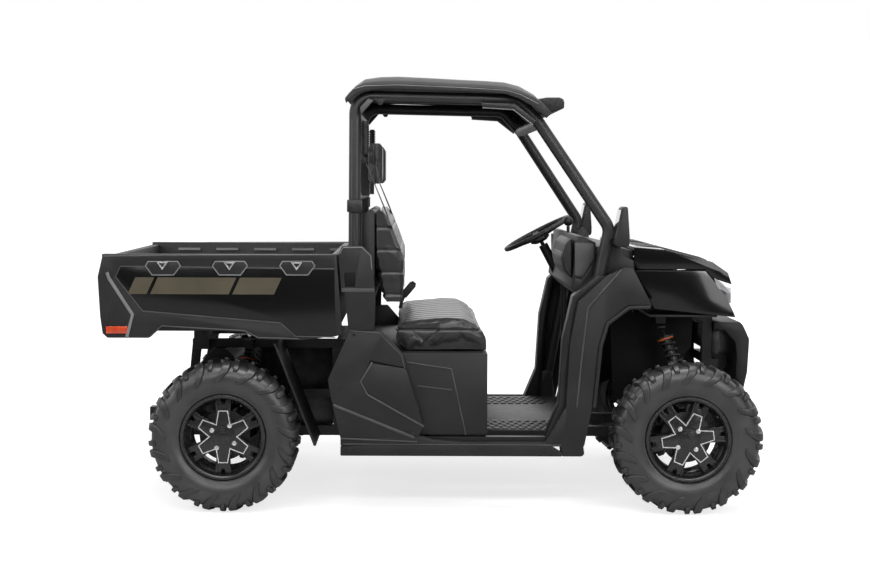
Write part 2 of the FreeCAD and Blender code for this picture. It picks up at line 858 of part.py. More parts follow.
def hood_outline(inset):
    """The hood from the side: its domed top and, below, the line where it meets the side panels."""
    top = outline_from(hood_shares, hood_rear, hood_top - hood_drop, hood_length, hood_drop)
    low = outline_from(side_shares[:3], side_rear, side_base, side_length, side_height)
    low = [(x, z + running_gap) for x, z in low]
    low[0] = (hood_rear, low[0][1])
    if inset > 0:
        top = [(x, z - inset) for x, z in top]
        top[-1] = (top[-1][0] - inset, top[-1][1])
        low = [(x, z - overrun * 5) for x, z in low]
        low[0] = (hood_rear - overrun, low[0][1])
        top[0] = (hood_rear - overrun, top[0][1])
    return top + [(x, z) for x, z in reversed(low)]


def hood():
    outer = side_prism(hood_outline(0.0), -side_half, side_half)
    reach = side_half - hood_thickness
    shell = outer.cut(side_prism(hood_outline(hood_thickness), -reach, reach))
    pieces = [shell]
    for sign in (-1, 1):
        near = sign * (hinge_half_gap + hinge_thickness / 2 + running_gap)
        far = near + sign * hinge_thickness
        low, high = min(near, far), max(near, far)
        pieces.append(rod(Vec(hinge_x, low, hinge_z), Vec(hinge_x, high, hinge_z), hinge_eye_radius))
        pieces.append(box(hinge_x - hinge_eye_radius, hinge_x + hinge_eye_radius, low, high, hinge_z,
                          hinge_z + hood_thickness * 5))
    bore = rod(Vec(hinge_x, -side_half, hinge_z), Vec(hinge_x, side_half, hinge_z), hinge_pin_radius + seat_gap)
    return fuse(pieces).cut(bore)


def front_fascia():
    x = hood_rear + hood_length
    z = hood_top - hood_drop - hood_thickness - running_gap
    seat = nose_frame_height + seat_gap
    back = rail_front - rail_size
    wall = hood_thickness
    outline = [
        (x - wall, z), (x, z), (fascia_front, side_base), (fascia_front, seat), (back, seat), (back, seat + wall),
        (fascia_front - wall * 2, seat + wall),
    ]
    pieces = [side_prism(outline, -hood_half_front, hood_half_front)]
    slots = []
    for sign in (-1, 1):
        y = sign * hinge_half_gap
        web = [(x, z - wall), (hinge_x - hinge_eye_radius, hinge_z - wall * 2), (hinge_x - hinge_eye_radius, hinge_z),
               (hinge_x + hinge_eye_radius, hinge_z + hinge_pin_radius), (x - wall / 2, z)]
        pieces.append(side_prism(web, y - hinge_thickness / 2, y + hinge_thickness / 2))
        reach = sign * (hinge_thickness * 2 + running_gap)
        pieces.append(rod(Vec(hinge_x, y, hinge_z), Vec(hinge_x, y + reach, hinge_z), hinge_pin_radius))
        near = y + sign * (hinge_thickness / 2 + seat_gap)
        far = near + sign * (hinge_thickness + running_gap * 2)
        low, high = min(near, far), max(near, far)
        slots.append(box(x - wall * 2, fascia_front, low, high, hinge_z - hinge_eye_radius - running_gap, z + overrun))
    whole = pieces[0].cut(slots[0]).cut(slots[1])
    return fuse([whole] + pieces[1:])


def headlamps():
    lamps = []
    x = hood_rear + hood_length
    inner = side_half - side_thickness - seat_gap
    top = hood_top - hood_drop - hood_thickness - running_gap
    for sign in (-1, 1):
        y0 = sign * (hood_half_front + seat_gap)
        y1 = sign * inner
        low, high = min(y0, y1), max(y0, y1)
        lamps.append(box(x - panel_thickness * 2, x, low, high, top - panel_thickness * 2, top))
    return lamps


# Bumper, winch and radiator
bumper_rear = rail_front + seat_gap
bumper_half = 300.0
bumper_base = 500.0
bumper_height = 313.0
bumper_length = 168.0
bumper_shares = [(0.0, 1.0), (0.73, 1.0), (0.82, 0.95), (0.90, 0.86), (1.0, 0.74), (0.95, 0.25), (0.85, 0.0),
                 (0.62, 0.16), (0.65, 0.50), (0.60, 0.70), (0.30, 0.88), (0.0, 0.88)]
plate_length = 45.0
plate_base = 400.0
plate_height = 72.0


def front_bumper():
    outline = outline_from(bumper_shares, bumper_rear, bumper_base, bumper_length, bumper_height)
    return side_prism(outline, -bumper_half, bumper_half)


# Winch and radiator
winch_x = 1344.0
winch_z = 610.0
winch_half = 140.0
winch_radius = 44.0
radiator_half = 260.0
radiator_thickness = 34.0
radiator_base = 660.0
radiator_top = 770.0


def winch():
    drum = rod(Vec(winch_x, -winch_half, winch_z), Vec(winch_x, winch_half, winch_z), winch_radius)
    back = rail_front + seat_gap
    plate_half = rail_half_gap + rail_size / 2
    foot = box(back, winch_x - winch_radius / 2, -plate_half, plate_half, winch_z - winch_radius / 2,
               winch_z + winch_radius / 2)
    return fuse([drum, foot])


def radiator():
    back = rail_front + seat_gap
    return box(back, back + radiator_thickness, -radiator_half, radiator_half, radiator_base, radiator_top)


# Suspension
kingpin_inset = 60.0
kingpin_spread = 100.0
boss_half = 18.0
boss_radius = 17.0
arm_radius = 14.0
arm_half_spread = 110.0
knuckle_half = 22.0
hub_boss_radius = 40.0
rear_knuckle_gap = 20.0
shock_radius = 40.0
shock_rod_radius = 10.0
shock_eye_radius = 14.0
shock_eye_half = 18.0
rear_shock_half_gap = 400.0
rear_shock_top_x = -880.0
front_shock_foot_half_gap = 490.0
rear_shock_foot_half_gap = 460.0
spring_share = 0.20
pivot_reach = 40.0
steer_arm_length = 95.0
steer_arm_rise = 38.0
steer_arm_thickness = 14.0
tie_rod_radius = 9.0
rack_radius = 12.0
rack_half = 180.0
rack_housing_half = 110.0
rack_housing_radius = 22.0
pin_gap = 2.0

front_kingpin = front_half_track - kingpin_inset


def wishbone(axle, inner_y, inner_z, outer_y, outer_z):
    """An A-shaped arm on the left, with its pivot barrel along X."""
    front = Vec(axle + arm_half_spread, inner_y, inner_z)
    rear = Vec(axle - arm_half_spread, inner_y, inner_z)
    tip = Vec(axle, outer_y, outer_z)
    barrel = rod(rear - X_AXIS * arm_radius, front + X_AXIS * arm_radius, arm_radius)
    boss = rod(tip - Z_AXIS * boss_half, tip + Z_AXIS * boss_half, boss_radius)
    return fuse([barrel, rod(front, tip, arm_radius), rod(rear, tip, arm_radius), boss])


def arms(axle, upper_inner, outer):
    low_y = rail_half_gap + rail_size / 2 + seat_gap + arm_radius
    low_z = frame_base + rail_size / 2
    high_y = upper_inner + upper_rail_size / 2 + seat_gap + arm_radius
    low = wishbone(axle, low_y, low_z, outer, tyre_radius - kingpin_spread)
    high = wishbone(axle, high_y, arm_rail_z, outer, tyre_radius + kingpin_spread)
    return [low, high]


def upright(axle, kingpin, back):
    """The part of a knuckle between its two ball joints, with the spindle for the wheel."""
    reach = kingpin_spread - boss_half - pin_gap * 3
    pin_reach = kingpin_spread - boss_half - seat_gap
    pins = rod(Vec(axle, kingpin, tyre_radius - pin_reach), Vec(axle, kingpin, tyre_radius + pin_reach),
               shock_rod_radius)
    post = box(axle - knuckle_half, axle + knuckle_half, kingpin - knuckle_half, kingpin + knuckle_half,
               tyre_radius - reach, tyre_radius + reach)
    boss = rod(Vec(axle, kingpin - knuckle_half, tyre_radius), Vec(axle, back - running_gap, tyre_radius),
               hub_boss_radius)
    spindle = rod(Vec(axle, kingpin, tyre_radius),
                  Vec(axle, back + disc_thickness + spindle_reach, tyre_radius), spindle_radius)
    return fuse([post, pins, boss, spindle])


def front_knuckle():
    back = hub_back(front_half_track, front_tyre_width)
    body = upright(front_axle, front_kingpin, back)
    z = tyre_radius + steer_arm_rise
    arm = box(front_axle - steer_arm_length - tie_rod_radius, front_axle, front_kingpin - knuckle_half,
              front_kingpin + knuckle_half, z, z + steer_arm_thickness)
    return fuse([body, arm])


def rear_knuckle():
    back = hub_back(rear_half_track, rear_tyre_width)
    return upright(rear_axle, rear_kingpin, back)


rear_kingpin = hub_back(rear_half_track, rear_tyre_width) - knuckle_half * 3 - rear_knuckle_gap


def steering_rack():
    x = front_axle - steer_arm_length
    z = tyre_radius + steer_arm_rise + steer_arm_thickness + pin_gap + rack_radius
    bar = rod(Vec(x, -rack_half, z), Vec(x, rack_half, z), rack_radius)
    pieces = [bar]
    for sign in (-1, 1):
        end = sign * front_kingpin
        pieces.append(rod(Vec(x, 0, z), Vec(x, end, z), tie_rod_radius))
        pieces.append(rod(Vec(x, end, z - rack_radius), Vec(x, end, z + rack_radius), boss_radius))
    return fuse(pieces)


def rack_housing():
    x = front_axle - steer_arm_length
    z = tyre_radius + steer_arm_rise + steer_arm_thickness + pin_gap + rack_radius
    tube = rod(Vec(x, -rack_housing_half, z), Vec(x, rack_housing_half, z), rack_housing_radius)
    back = nose_frame_rear + rail_size / 2 + seat_gap
    wing = box(back, x, -rail_half_gap - rail_size / 2, rail_half_gap + rail_size / 2,
               z - rack_radius / 2, z + rack_radius / 2)
    bore = rod(Vec(x, -rack_half * 2, z), Vec(x, rack_half * 2, z), rack_radius + seat_gap)
    return fuse([tube, wing]).cut(bore)


def shock(foot, top):
    """A coil-over shock between two cross pins; the coil is one plain sleeve."""
    axis = top - foot
    low = foot + axis * spring_share
    high = top - axis * (spring_share / 2)
    pieces = [rod(foot, top, shock_rod_radius), rod(low, high, shock_radius)]
    for point in (foot, top):
        pieces.append(rod(point - X_AXIS * shock_eye_half, point + X_AXIS * shock_eye_half, shock_eye_radius))
    return fuse(pieces)


def shock_foot(axle, rail_gap, kingpin, y):
    """The cross pin of a shock's foot, resting on the front leg of an upper arm."""
    inner = rail_gap + upper_rail_size / 2 + seat_gap + arm_radius
    share = (y - inner) / (kingpin - inner)
    leg_z = arm_rail_z + share * (tyre_radius + kingpin_spread - arm_rail_z)
    return Vec(axle + arm_half_spread * (1 - share), y, leg_z + arm_radius + shock_eye_radius + pin_gap)


def front_shock():
    top_z = nose_frame_height - rail_size - seat_gap - shock_eye_radius
    foot = shock_foot(front_axle, arm_rail_half_gap, front_kingpin, front_shock_foot_half_gap)
    return shock(foot, Vec(shock_mount_x, shock_mount_half_gap, top_z))


def rear_shock():
    top_z = upper_rail_base - seat_gap - shock_eye_radius
    foot = shock_foot(rear_axle, rear_arm_rail_half_gap, rear_kingpin, rear_shock_foot_half_gap)
    return shock(foot, Vec(rear_shock_top_x, rear_shock_half_gap, top_z))


# Driveline, engine and exhaust
gear_case_half = 70.0
gear_case_height = 150.0
gear_case_base = frame_base + rail_size + seat_gap
axle_shaft_radius = 15.0
engine_rear = -840.0
engine_front = -500.0
engine_half = 190.0
engine_top = 672.0
muffler_radius = 78.0
muffler_x = -1018.0
muffler_near = -385.0
muffler_far = 110.0


def drive_line():
    pieces = []
    for axle, kingpin in ((front_axle, front_kingpin), (rear_axle, rear_kingpin)):
        case = box(axle - gear_case_half, axle + gear_case_half, -gear_case_half, gear_case_half,
                   gear_case_base, gear_case_base + gear_case_height)
        inner = gear_case_base + gear_case_height / 2
        shafts = [case]
        for sign in (-1, 1):
            end = sign * (kingpin - knuckle_half * math.sqrt(2) - running_gap)
            shafts.append(rod(Vec(axle, 0, inner), Vec(axle, end, tyre_radius), axle_shaft_radius))
        pieces.append(fuse(shafts))
    return pieces


def engine_block():
    base = frame_base + rail_size + seat_gap
    return box(engine_rear, engine_front, -engine_half, engine_half, base, engine_top)


def muffler():
    z = upper_rail_base - muffler_radius - seat_gap
    return rod(Vec(muffler_x, muffler_near, z), Vec(muffler_x, muffler_far, z), muffler_radius)


# Liners, mirrors and belts
liner_top_x = -740.0
liner_top_z = 745.0
liner_foot_x = -560.0
liner_foot_z = 290.0
liner_thickness = 10.0
mirror_x = 808.0
mirror_z = 1272.0
mirror_height = 178.0
mirror_depth = 34.0
mirror_inner = 700.0
mirror_outer = 798.0
mirror_arm_radius = 10.0
mirror_foot_x = 735.0
mirror_foot_z = 1180.0
belt_width = 48.0
belt_thickness = 3.0
belt_y = -566.0
belt_guide_z = 1590.0


def wheel_liner():
    outline = [
        (liner_foot_x, liner_foot_z),
        (liner_foot_x + liner_thickness, liner_foot_z),
        (liner_top_x + liner_thickness, liner_top_z),
        (liner_top_x, liner_top_z),
    ]
    inner = upper_rail_half_gap + upper_rail_size / 2 + seat_gap
    return side_prism(outline, -body_half + panel_thickness, -inner)


def inner_fender():
    """The right-hand sheet over the front wheel, from the nose frame out to the side panel."""
    seat = nose_frame_height + seat_gap
    front = rail_front - rail_size - seat_gap
    outline = [(nose_frame_rear, seat), (front, seat), (front, seat + liner_thickness),
               (nose_frame_rear, seat + liner_thickness)]
    return side_prism(outline, -side_half + side_thickness + seat_gap, -nose_frame_half_gap)


def mirror():
    housing = box(mirror_x - mirror_depth / 2, mirror_x + mirror_depth / 2, -mirror_outer, -mirror_inner,
                  mirror_z - mirror_height / 2, mirror_z + mirror_height / 2)
    pillar_edge = -cage_half_low
    arm = rod(Vec(mirror_foot_x, pillar_edge, mirror_foot_z),
              Vec(mirror_x, -mirror_inner - mirror_arm_radius, mirror_z - mirror_height / 4), mirror_arm_radius)
    outside = trimmed(arm, hoop(cage_tube_radius + seat_gap))
    return fuse([housing, outside])


def seat_belt():
    """The right-hand shoulder strap, from its guide on the cage down over the seat back."""
    gap = seat_gap * 4
    top = back_base + back_height
    line = [
        (hoop_x + cage_tube_radius, belt_guide_z),
        (back_front - back_lean + gap, top + gap),
        (back_front + gap, back_base + back_height / 2 + gap),
        (back_front + gap, back_base),
    ]
    back = [(x + belt_thickness, z) for x, z in reversed(line)]
    strap = side_prism(line + back, belt_y - belt_width / 2, belt_y + belt_width / 2)
    guide = box(hoop_x, hoop_x + cage_tube_radius + belt_thickness, -hoop_half_at(belt_guide_z),
                belt_y + belt_width / 2, belt_guide_z - belt_width / 2, belt_guide_z)
    return fuse([strap, guide.cut(hoop(cage_tube_radius + seat_gap))])


# Bed, drawn level; it tips about a pivot below its floor
bed_front = -455.0
bed_skin = 36.0
bed_wall = 55.0
bed_front_wall = 30.0
gate_thickness = 38.0
gate_axis_x = -1481.0
gate_axis_z = 862.0
gate_pin_radius = 8.0
gate_pin_reach = 24.0
gate_side_gap = 6.0
gate_top_drop = 12.0
ear_radius = 24.0
ear_thickness = 20.0
bed_side_length = 1080.0
bed_side_base = 764.0
bed_side_height = 380.0
bed_side_shares = [
    (0.02, 0.98), (0.0, 0.73), (0.01, 0.27), (0.02, 0.07), (0.04, 0.02), (0.21, 0.02), (0.26, 0.15), (0.40, 0.12),
    (0.60, 0.09), (0.66, 0.01), (0.83, 0.0), (0.98, 0.05), (1.0, 0.08), (0.975, 1.0),
]
inset_shares = [(0.10, 0.84), (0.08, 0.73), (0.19, 0.34), (0.75, 0.21), (0.81, 0.055), (0.965, 0.055),
                (0.965, 0.82)]
notch_shares = [(-0.5, 0.65), (-0.42, 1.0), (0.42, 1.0), (0.5, 0.66), (0.30, 0.0), (-0.30, 0.0)]
notch_width = 158.0
notch_height = 65.0
notch_drop = 96.0
notch_depth = 16.0
notch_places_shares = [0.27, 0.535, 0.815]
lamp_rear_share = 0.035
lamp_front_share = 0.122
lamp_base = 791.0
lamp_height = 32.0
lamp_stand = 4.0
ring_radius = 22.0


def bed_tub():
    half = body_half - bed_skin - seat_gap
    inside = half - bed_wall
    rear = gate_axis_x - gate_thickness / 2
    floor_end = gate_axis_x + gate_thickness / 2 + running_gap
    outer = box(rear, bed_front, -half, half, bed_base, bed_rim)
    load = box(floor_end, bed_front - bed_front_wall, -inside, inside, bed_floor, bed_rim + overrun)
    gap = box(rear - overrun, floor_end, -inside, inside, bed_base - overrun, bed_rim + overrun)
    tub = outer.cut(load).cut(gap)
    pieces = [tub]
    for sign in (-1, 1):
        start = sign * inside
        pieces.append(rod(Vec(gate_axis_x, start + sign * overrun, gate_axis_z),
                          Vec(gate_axis_x, start - sign * gate_pin_reach, gate_axis_z), gate_pin_radius))
        near = sign * (post_half_gap - post_thickness / 2 - running_gap)
        far = near - sign * ear_thickness
        low, high = min(near, far), max(near, far)
        pieces.append(rod(Vec(pivot_x, low, pivot_z), Vec(pivot_x, high, pivot_z), ear_radius))
        pieces.append(box(pivot_x - ear_radius, pivot_x + ear_radius, low, high, pivot_z, bed_base + overrun))
    whole = fuse(pieces)
    bore = rod(Vec(pivot_x, -body_half, pivot_z), Vec(pivot_x, body_half, pivot_z), pivot_radius + seat_gap)
    return whole.cut(bore)


def bed_side_panel():
    outline = outline_from(bed_side_shares, rear_end, bed_side_base, bed_side_length, bed_side_height)
    panel = side_prism(outline, -body_half, -body_half + bed_skin)
    inset = outline_from(inset_shares, rear_end, bed_side_base, bed_side_length, bed_side_height)
    panel = panel.cut(side_prism(inset, -body_half - overrun, -body_half + recess_depth / 2))
    for share in notch_places_shares:
        x = rear_end + share * bed_side_length
        notch = outline_from(notch_shares, x, bed_side_base + bed_side_height - notch_drop, notch_width, notch_height)
        panel = panel.cut(side_prism(notch, -body_half - overrun, -body_half + notch_depth))
    return panel.cut(lamp_block(overrun, seat_gap))


def lamp_block(stand, gap):
    return box(rear_end + lamp_rear_share * bed_side_length - gap, rear_end + lamp_front_share * bed_side_length + gap,
               -body_half - stand, -body_half + notch_depth + gap, lamp_base - gap, lamp_base + lamp_height + gap)


def tie_rings():
    """Three-cornered tie-down rings, one in each notch of the bed rail."""
    rings = []
    back = -body_half + notch_depth - seat_gap
    for share in notch_places_shares:
        x = rear_end + share * bed_side_length
        z = bed_side_base + bed_side_height - notch_drop + notch_height * 2 / 3
        rings.append(side_prism([(x - ring_radius, z - ring_radius / 2), (x + ring_radius, z - ring_radius / 2),
                                 (x, z + ring_radius)], back - lamp_stand, back))
    return rings


def tailgate():
    half = body_half - bed_skin - seat_gap - bed_wall - gate_side_gap
    radius = gate_thickness / 2
    leaf = box(gate_axis_x - radius, gate_axis_x + radius, -half, half, gate_axis_z, bed_rim - gate_top_drop)
    foot = rod(Vec(gate_axis_x, -half, gate_axis_z), Vec(gate_axis_x, half, gate_axis_z), radius)
    bores = rod(Vec(gate_axis_x, -body_half, gate_axis_z), Vec(gate_axis_x, body_half, gate_axis_z),
                gate_pin_radius + seat_gap)
    return fuse([leaf, foot]).cut(bores)


def lower_nose_plate():
    """The sloping skid plate between the front rails, whose lip is the vehicle's foremost point."""
    outline = [
        (rail_front + seat_gap, frame_base),
        (rail_front + seat_gap, frame_base + rail_size),
        (front_end - plate_length, plate_base + plate_height),
        (front_end, plate_base),
        (front_end - plate_length, plate_base - plate_height / 4),
    ]
    return side_prism(outline, -rail_half_gap, rail_half_gap)


os.makedirs("parts", exist_ok=True)
export_wheels()
export("chassis_frame", [chassis_frame()])
export("hitch_receiver", [hitch_receiver()])
export("floor_pan", [floor_pan()])
export("rocker_panels", both_sides(rocker_panel()))
export("quarter_panels", both_sides(quarter_panel()))
export("pillar_covers", both_sides(pillar_cover()))
export("seat_base", [seat_base()])
export("seat_cushions", seat_cushions())
export("seat_backs", seat_backs())
export("headrests", headrests())
export("seat_belts", both_sides(seat_belt()))
export("hoop_right", [hoop()])
export("hoop_left", [mirrored(hoop())])
export("cage_crossbars", cage_crossbars())
export("roof_panel", [roof_panel()])
export("dash_panel", [dash_panel()])
export("steering_column", [steering_column(), rack_housing()])
export("steering_wheel", [steering_wheel()])
export("steering_rack", [steering_rack()])
export("driver_controls", driver_controls())
export("front_fenders", both_sides(front_fender()))
export("front_side_panels", both_sides(front_side_panel()))
export("hood", [hood()])
export("front_fascia", [front_fascia()])
export("headlamps", headlamps())
export("front_bumper", [front_bumper(), lower_nose_plate()])
export("winch", [winch()])
export("radiator", [radiator()])
export("front_arms", both_sides(Part.makeCompound(arms(front_axle, arm_rail_half_gap, front_kingpin))))
export("rear_arms", both_sides(Part.makeCompound(arms(rear_axle, rear_arm_rail_half_gap, rear_kingpin))))
export("knuckle_left", [front_knuckle()])
export("knuckle_right", [mirrored(front_knuckle())])
export("rear_knuckles", both_sides(rear_knuckle()))
export("front_shocks", both_sides(front_shock()))
export("rear_shocks", both_sides(rear_shock()))
export("drive_line", drive_line())
export("engine_block", [engine_block()])
export("muffler", [muffler()])
export("wheel_liners", both_sides(wheel_liner()) + both_sides(inner_fender()))
export("mirrors", both_sides(mirror()))
export("bed_tub", [bed_tub()])
export("bed_side_panels", both_sides(bed_side_panel()))
export("tie_rings", both_sides(Part.makeCompound(tie_rings())))
export("tail_lamps", both_sides(lamp_block(lamp_stand, 0.0)))
export("tailgate", [tailgate()])
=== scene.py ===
import json
import math

import bmesh
import bpy
from mathutils import Matrix, Vector
from mathutils.bvhtree import BVHTree


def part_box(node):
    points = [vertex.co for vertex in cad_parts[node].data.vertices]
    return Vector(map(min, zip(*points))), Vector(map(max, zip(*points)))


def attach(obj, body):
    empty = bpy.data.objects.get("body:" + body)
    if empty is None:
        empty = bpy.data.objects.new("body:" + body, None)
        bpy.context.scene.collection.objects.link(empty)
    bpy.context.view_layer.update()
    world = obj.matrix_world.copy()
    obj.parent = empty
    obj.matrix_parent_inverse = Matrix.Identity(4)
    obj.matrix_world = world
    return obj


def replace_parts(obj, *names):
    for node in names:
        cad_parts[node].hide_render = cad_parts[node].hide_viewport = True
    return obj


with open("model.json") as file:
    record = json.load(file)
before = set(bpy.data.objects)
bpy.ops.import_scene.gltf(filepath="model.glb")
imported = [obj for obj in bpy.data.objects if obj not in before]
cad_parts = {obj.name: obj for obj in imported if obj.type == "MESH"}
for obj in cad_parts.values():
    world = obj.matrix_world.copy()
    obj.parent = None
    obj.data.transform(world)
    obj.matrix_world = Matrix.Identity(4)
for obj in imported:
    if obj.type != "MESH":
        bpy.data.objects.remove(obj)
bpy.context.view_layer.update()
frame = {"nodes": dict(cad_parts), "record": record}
nodes = frame["nodes"]
slot_of = {s["node"]: s["material_slot"] for s in frame["record"]["subparts"]}

SIDES = (("right", -1), ("left", 1))
WELD_REACH = 0.00002
FLAT_ANGLE = 0.6
DOWN = Vector((0, 0, -1))


def rotation(degrees, axis):
    return Matrix.Rotation(math.radians(degrees), 4, axis)


# Materials
def shader(name):
    material = bpy.data.materials.new(name)
    material.use_nodes = True
    tree = material.node_tree
    return material, tree, tree.nodes["Principled BSDF"]


def add_node(tree, kind, values=(), **settings):
    """A shader node with its settings, and its inputs' values as (name, value) pairs."""
    node = tree.nodes.new(kind)
    for name, value in settings.items():
        setattr(node, name, value)
    for name, value in values:
        node.inputs[name].default_value = value
    return node


def link(tree, source, output, target, name):
    tree.links.new(source.outputs[output], target.inputs[name])


def noise_node(tree, coordinates, scale, detail):
    texture = add_node(tree, "ShaderNodeTexNoise", [("Scale", scale), ("Detail", detail)])
    link(tree, coordinates, "Object", texture, "Vector")
    return texture


def map_range(tree, source, output, ends, results):
    """Takes a value between two ends to its place between two results."""
    values = zip(("From Min", "From Max", "To Min", "To Max"), (*ends, *results))
    span = add_node(tree, "ShaderNodeMapRange", values)
    link(tree, source, output, span, "Value")
    return span


def ramp_node(tree, source, low, high, start=0.35, end=0.65):
    ramp = tree.nodes.new("ShaderNodeValToRGB")
    for element, place, tone in zip(ramp.color_ramp.elements, (start, end), (low, high)):
        element.position = place
        element.color = (*tone, 1)
    link(tree, source, 0, ramp, "Fac")
    return ramp


def finish(name, tones, rough, broad, fine, bump, depth=0.0004, metal=0.0, specular=0.5, coat=0.0, sheen=0.0,
           weave=0.0):
    """A surface whose tone and gloss drift between two values, with a fine grain or weave in its bump."""
    material, tree, principled = shader(name)
    coordinates = tree.nodes.new("ShaderNodeTexCoord")
    slow = noise_node(tree, coordinates, broad, 3.0)
    link(tree, ramp_node(tree, slow, *tones), "Color", principled, "Base Color")
    patches = noise_node(tree, coordinates, broad * 5, 4.0)
    link(tree, map_range(tree, patches, "Fac", (0.0, 1.0), rough), "Result", principled, "Roughness")
    grain = noise_node(tree, coordinates, fine, 2.0)
    relief = add_node(tree, "ShaderNodeBump", [("Strength", bump), ("Distance", depth)])
    if weave:
        waves = add_node(tree, "ShaderNodeTexWave", [("Scale", weave), ("Distortion", 0.6)],
                         wave_type="BANDS", bands_direction="DIAGONAL")
        link(tree, coordinates, "Object", waves, "Vector")
        both = add_node(tree, "ShaderNodeMix", [(0, 0.6)], data_type="FLOAT")
        link(tree, grain, "Fac", both, "A")
        link(tree, waves, "Fac", both, "B")
        link(tree, both, "Result", relief, "Height")
    else:
        link(tree, grain, "Fac", relief, "Height")
    link(tree, relief, "Normal", principled, "Normal")
    for socket, value in (("Metallic", metal), ("Specular IOR Level", specular), ("Coat Weight", coat),
                          ("Coat Roughness", 0.08), ("Sheen Weight", sheen)):
        principled.inputs[socket].default_value = value
    return material


def greys(low, high, tint=1.0):
    """The dark and the light tone of a grey surface, with its blue share."""
    return (low, low, low * tint), (high, high, high * tint)


MATERIALS = {
    "frame_paint": (greys(0.006, 0.010, 1.1), (0.36, 0.50), 9, 700, 0.1, {"specular": 0.4}),
    "cage_paint": (greys(0.012, 0.018, 1.05), (0.34, 0.46), 7, 1100, 0.08, {"specular": 0.45}),
    "body_plastic": (greys(0.0082, 0.0135, 1.04), (0.42, 0.54), 5, 1300, 0.32, {"depth": 0.0005, "specular": 0.36}),
    "gloss_plastic": (greys(0.0018, 0.0028), (0.10, 0.17), 3, 300, 0.02, {"specular": 0.34, "coat": 0.1}),
    "vinyl": (greys(0.011, 0.018), (0.30, 0.42), 8, 750, 0.5, {"depth": 0.0006, "specular": 0.55, "sheen": 0.05}),
    "webbing": (greys(0.020, 0.034), (0.7, 0.85), 12, 900, 0.5, {"depth": 0.0008, "sheen": 0.3, "weave": 420}),
    "cast_metal": (greys(0.035, 0.07), (0.5, 0.7), 14, 260, 0.5, {"depth": 0.0009, "metal": 0.6}),
    "shock_metal": (greys(0.012, 0.024), (0.28, 0.42), 14, 500, 0.1, {"metal": 0.2}),
    "bare_steel": (greys(0.42, 0.6), (0.26, 0.4), 12, 700, 0.12, {"metal": 1.0}),
    "wheel_grip": (greys(0.010, 0.016), (0.45, 0.6), 10, 1200, 0.5, {"depth": 0.0005}),
    "lamp_lens": (greys(0.20, 0.34, 1.04), (0.05, 0.12), 20, 60, 0.3, {"depth": 0.001, "coat": 1.0}),
    "tail_lens": (((0.42, 0.035, 0.008), (0.60, 0.07, 0.015)), (0.14, 0.22), 25, 120, 0.25,
                  {"depth": 0.001, "coat": 0.8}),
    "tyre_rubber": (greys(0.021, 0.038), (0.28, 0.42), 8, 480, 0.45, {"depth": 0.0007, "specular": 0.6}),
    # The lugs are the tyre's rubber painted darker: painted shade that sets them off the sidewall.
    "lug_rubber": (greys(0.014, 0.026), (0.30, 0.42), 10, 420, 0.5, {"depth": 0.0008, "specular": 0.6}),
    "rim_paint": (greys(0.007, 0.011), (0.22, 0.34), 9, 900, 0.05, {"coat": 0.2}),
    "machined": (greys(0.72, 0.86), (0.22, 0.34), 30, 1500, 0.1, {"metal": 1.0}),
    "dark_metal": (greys(0.03, 0.05), (0.35, 0.5), 20, 600, 0.1, {"metal": 0.8}),
    # The next two greys are painted highlights: pale bands laid on edges, creases, ridges and ledges where light would
    # catch them.
    "light_trim": (greys(0.13, 0.19, 1.03), (0.34, 0.44), 8, 900, 0.15, {}),
    "soft_trim": (greys(0.040, 0.060, 1.03), (0.36, 0.46), 8, 1100, 0.2, {}),
    "tan_stripe": (((0.060, 0.052, 0.034), (0.078, 0.068, 0.045)), (0.2, 0.3), 4, 400, 0.03, {"coat": 0.2}),
    # A near-black, dull grey that paints shade into pockets, openings and the dark spaces behind panels.
    "deep_black": (greys(0.0018, 0.003), (0.6, 0.75), 6, 500, 0.1, {"specular": 0.2}),
    "orange_ring": (((0.35, 0.07, 0.01), (0.45, 0.10, 0.015)), (0.35, 0.45), 20, 500, 0.1, {}),
    "mirror_glass": (greys(0.5, 0.55), (0.03, 0.05), 5, 50, 0.0, {"metal": 1.0}),
    "stitch": (greys(0.035, 0.055), (0.6, 0.7), 60, 1500, 0.3, {}),
}


# Stage, camera and light
CAMERA_PLACE = (-0.1226, -7.6153, 1.4678)
CAMERA_PITCH = 1.7
CAMERA_ROLL = 0.208
CAMERA_LENS = 64.685
CAMERA_SHIFT = (0.0254, -0.0718)
FLOOR_REACH = 30.0
FLOOR_TONE = 0.5
FLOOR_GLOW = (0.74, 1.0)
FLOOR_GLOW_REACH = (1.2, 3.4)
WORLD_SOFT = 0.40
WORLD_GLOSS = (0.16, 1.0)
WORLD_GLOSS_DEPTH = (-0.35, 0.25)
# Each light's place, target, size and power
LIGHTS = {
    "overhead": ((0.2, -1.6, 5.2), (0, 0, 0.7), (5.5, 2.6), 260),
    "side_strip": ((0, -5.0, 3.4), (0, 0, 0.5), (7.0, 0.5), 130),
    "far_fill": ((0.4, 5.2, 3.2), (0, 0, 0.8), (4.0, 2.0), 34),
    "front_fill": ((3.6, -4.6, 2.4), (0.4, 0, 0.8), (1.6, 2.4), 60),
    "rear_rim": ((-4.2, -2.6, 2.6), (-0.6, 0, 0.9), (1.6, 2.6), 45),
}


def add_object(name, data):
    item = bpy.data.objects.new(name, data)
    bpy.context.scene.collection.objects.link(item)
    return item


def make_camera():
    data = bpy.data.cameras.new("camera")
    data.lens = CAMERA_LENS
    data.sensor_width = 36.0
    data.shift_x, data.shift_y = CAMERA_SHIFT
    camera = add_object("camera", data)
    pitch = rotation(90 - CAMERA_PITCH, "X")
    roll = rotation(CAMERA_ROLL, "Z")
    camera.matrix_world = Matrix.Translation(CAMERA_PLACE) @ pitch @ roll
    bpy.context.scene.camera = camera


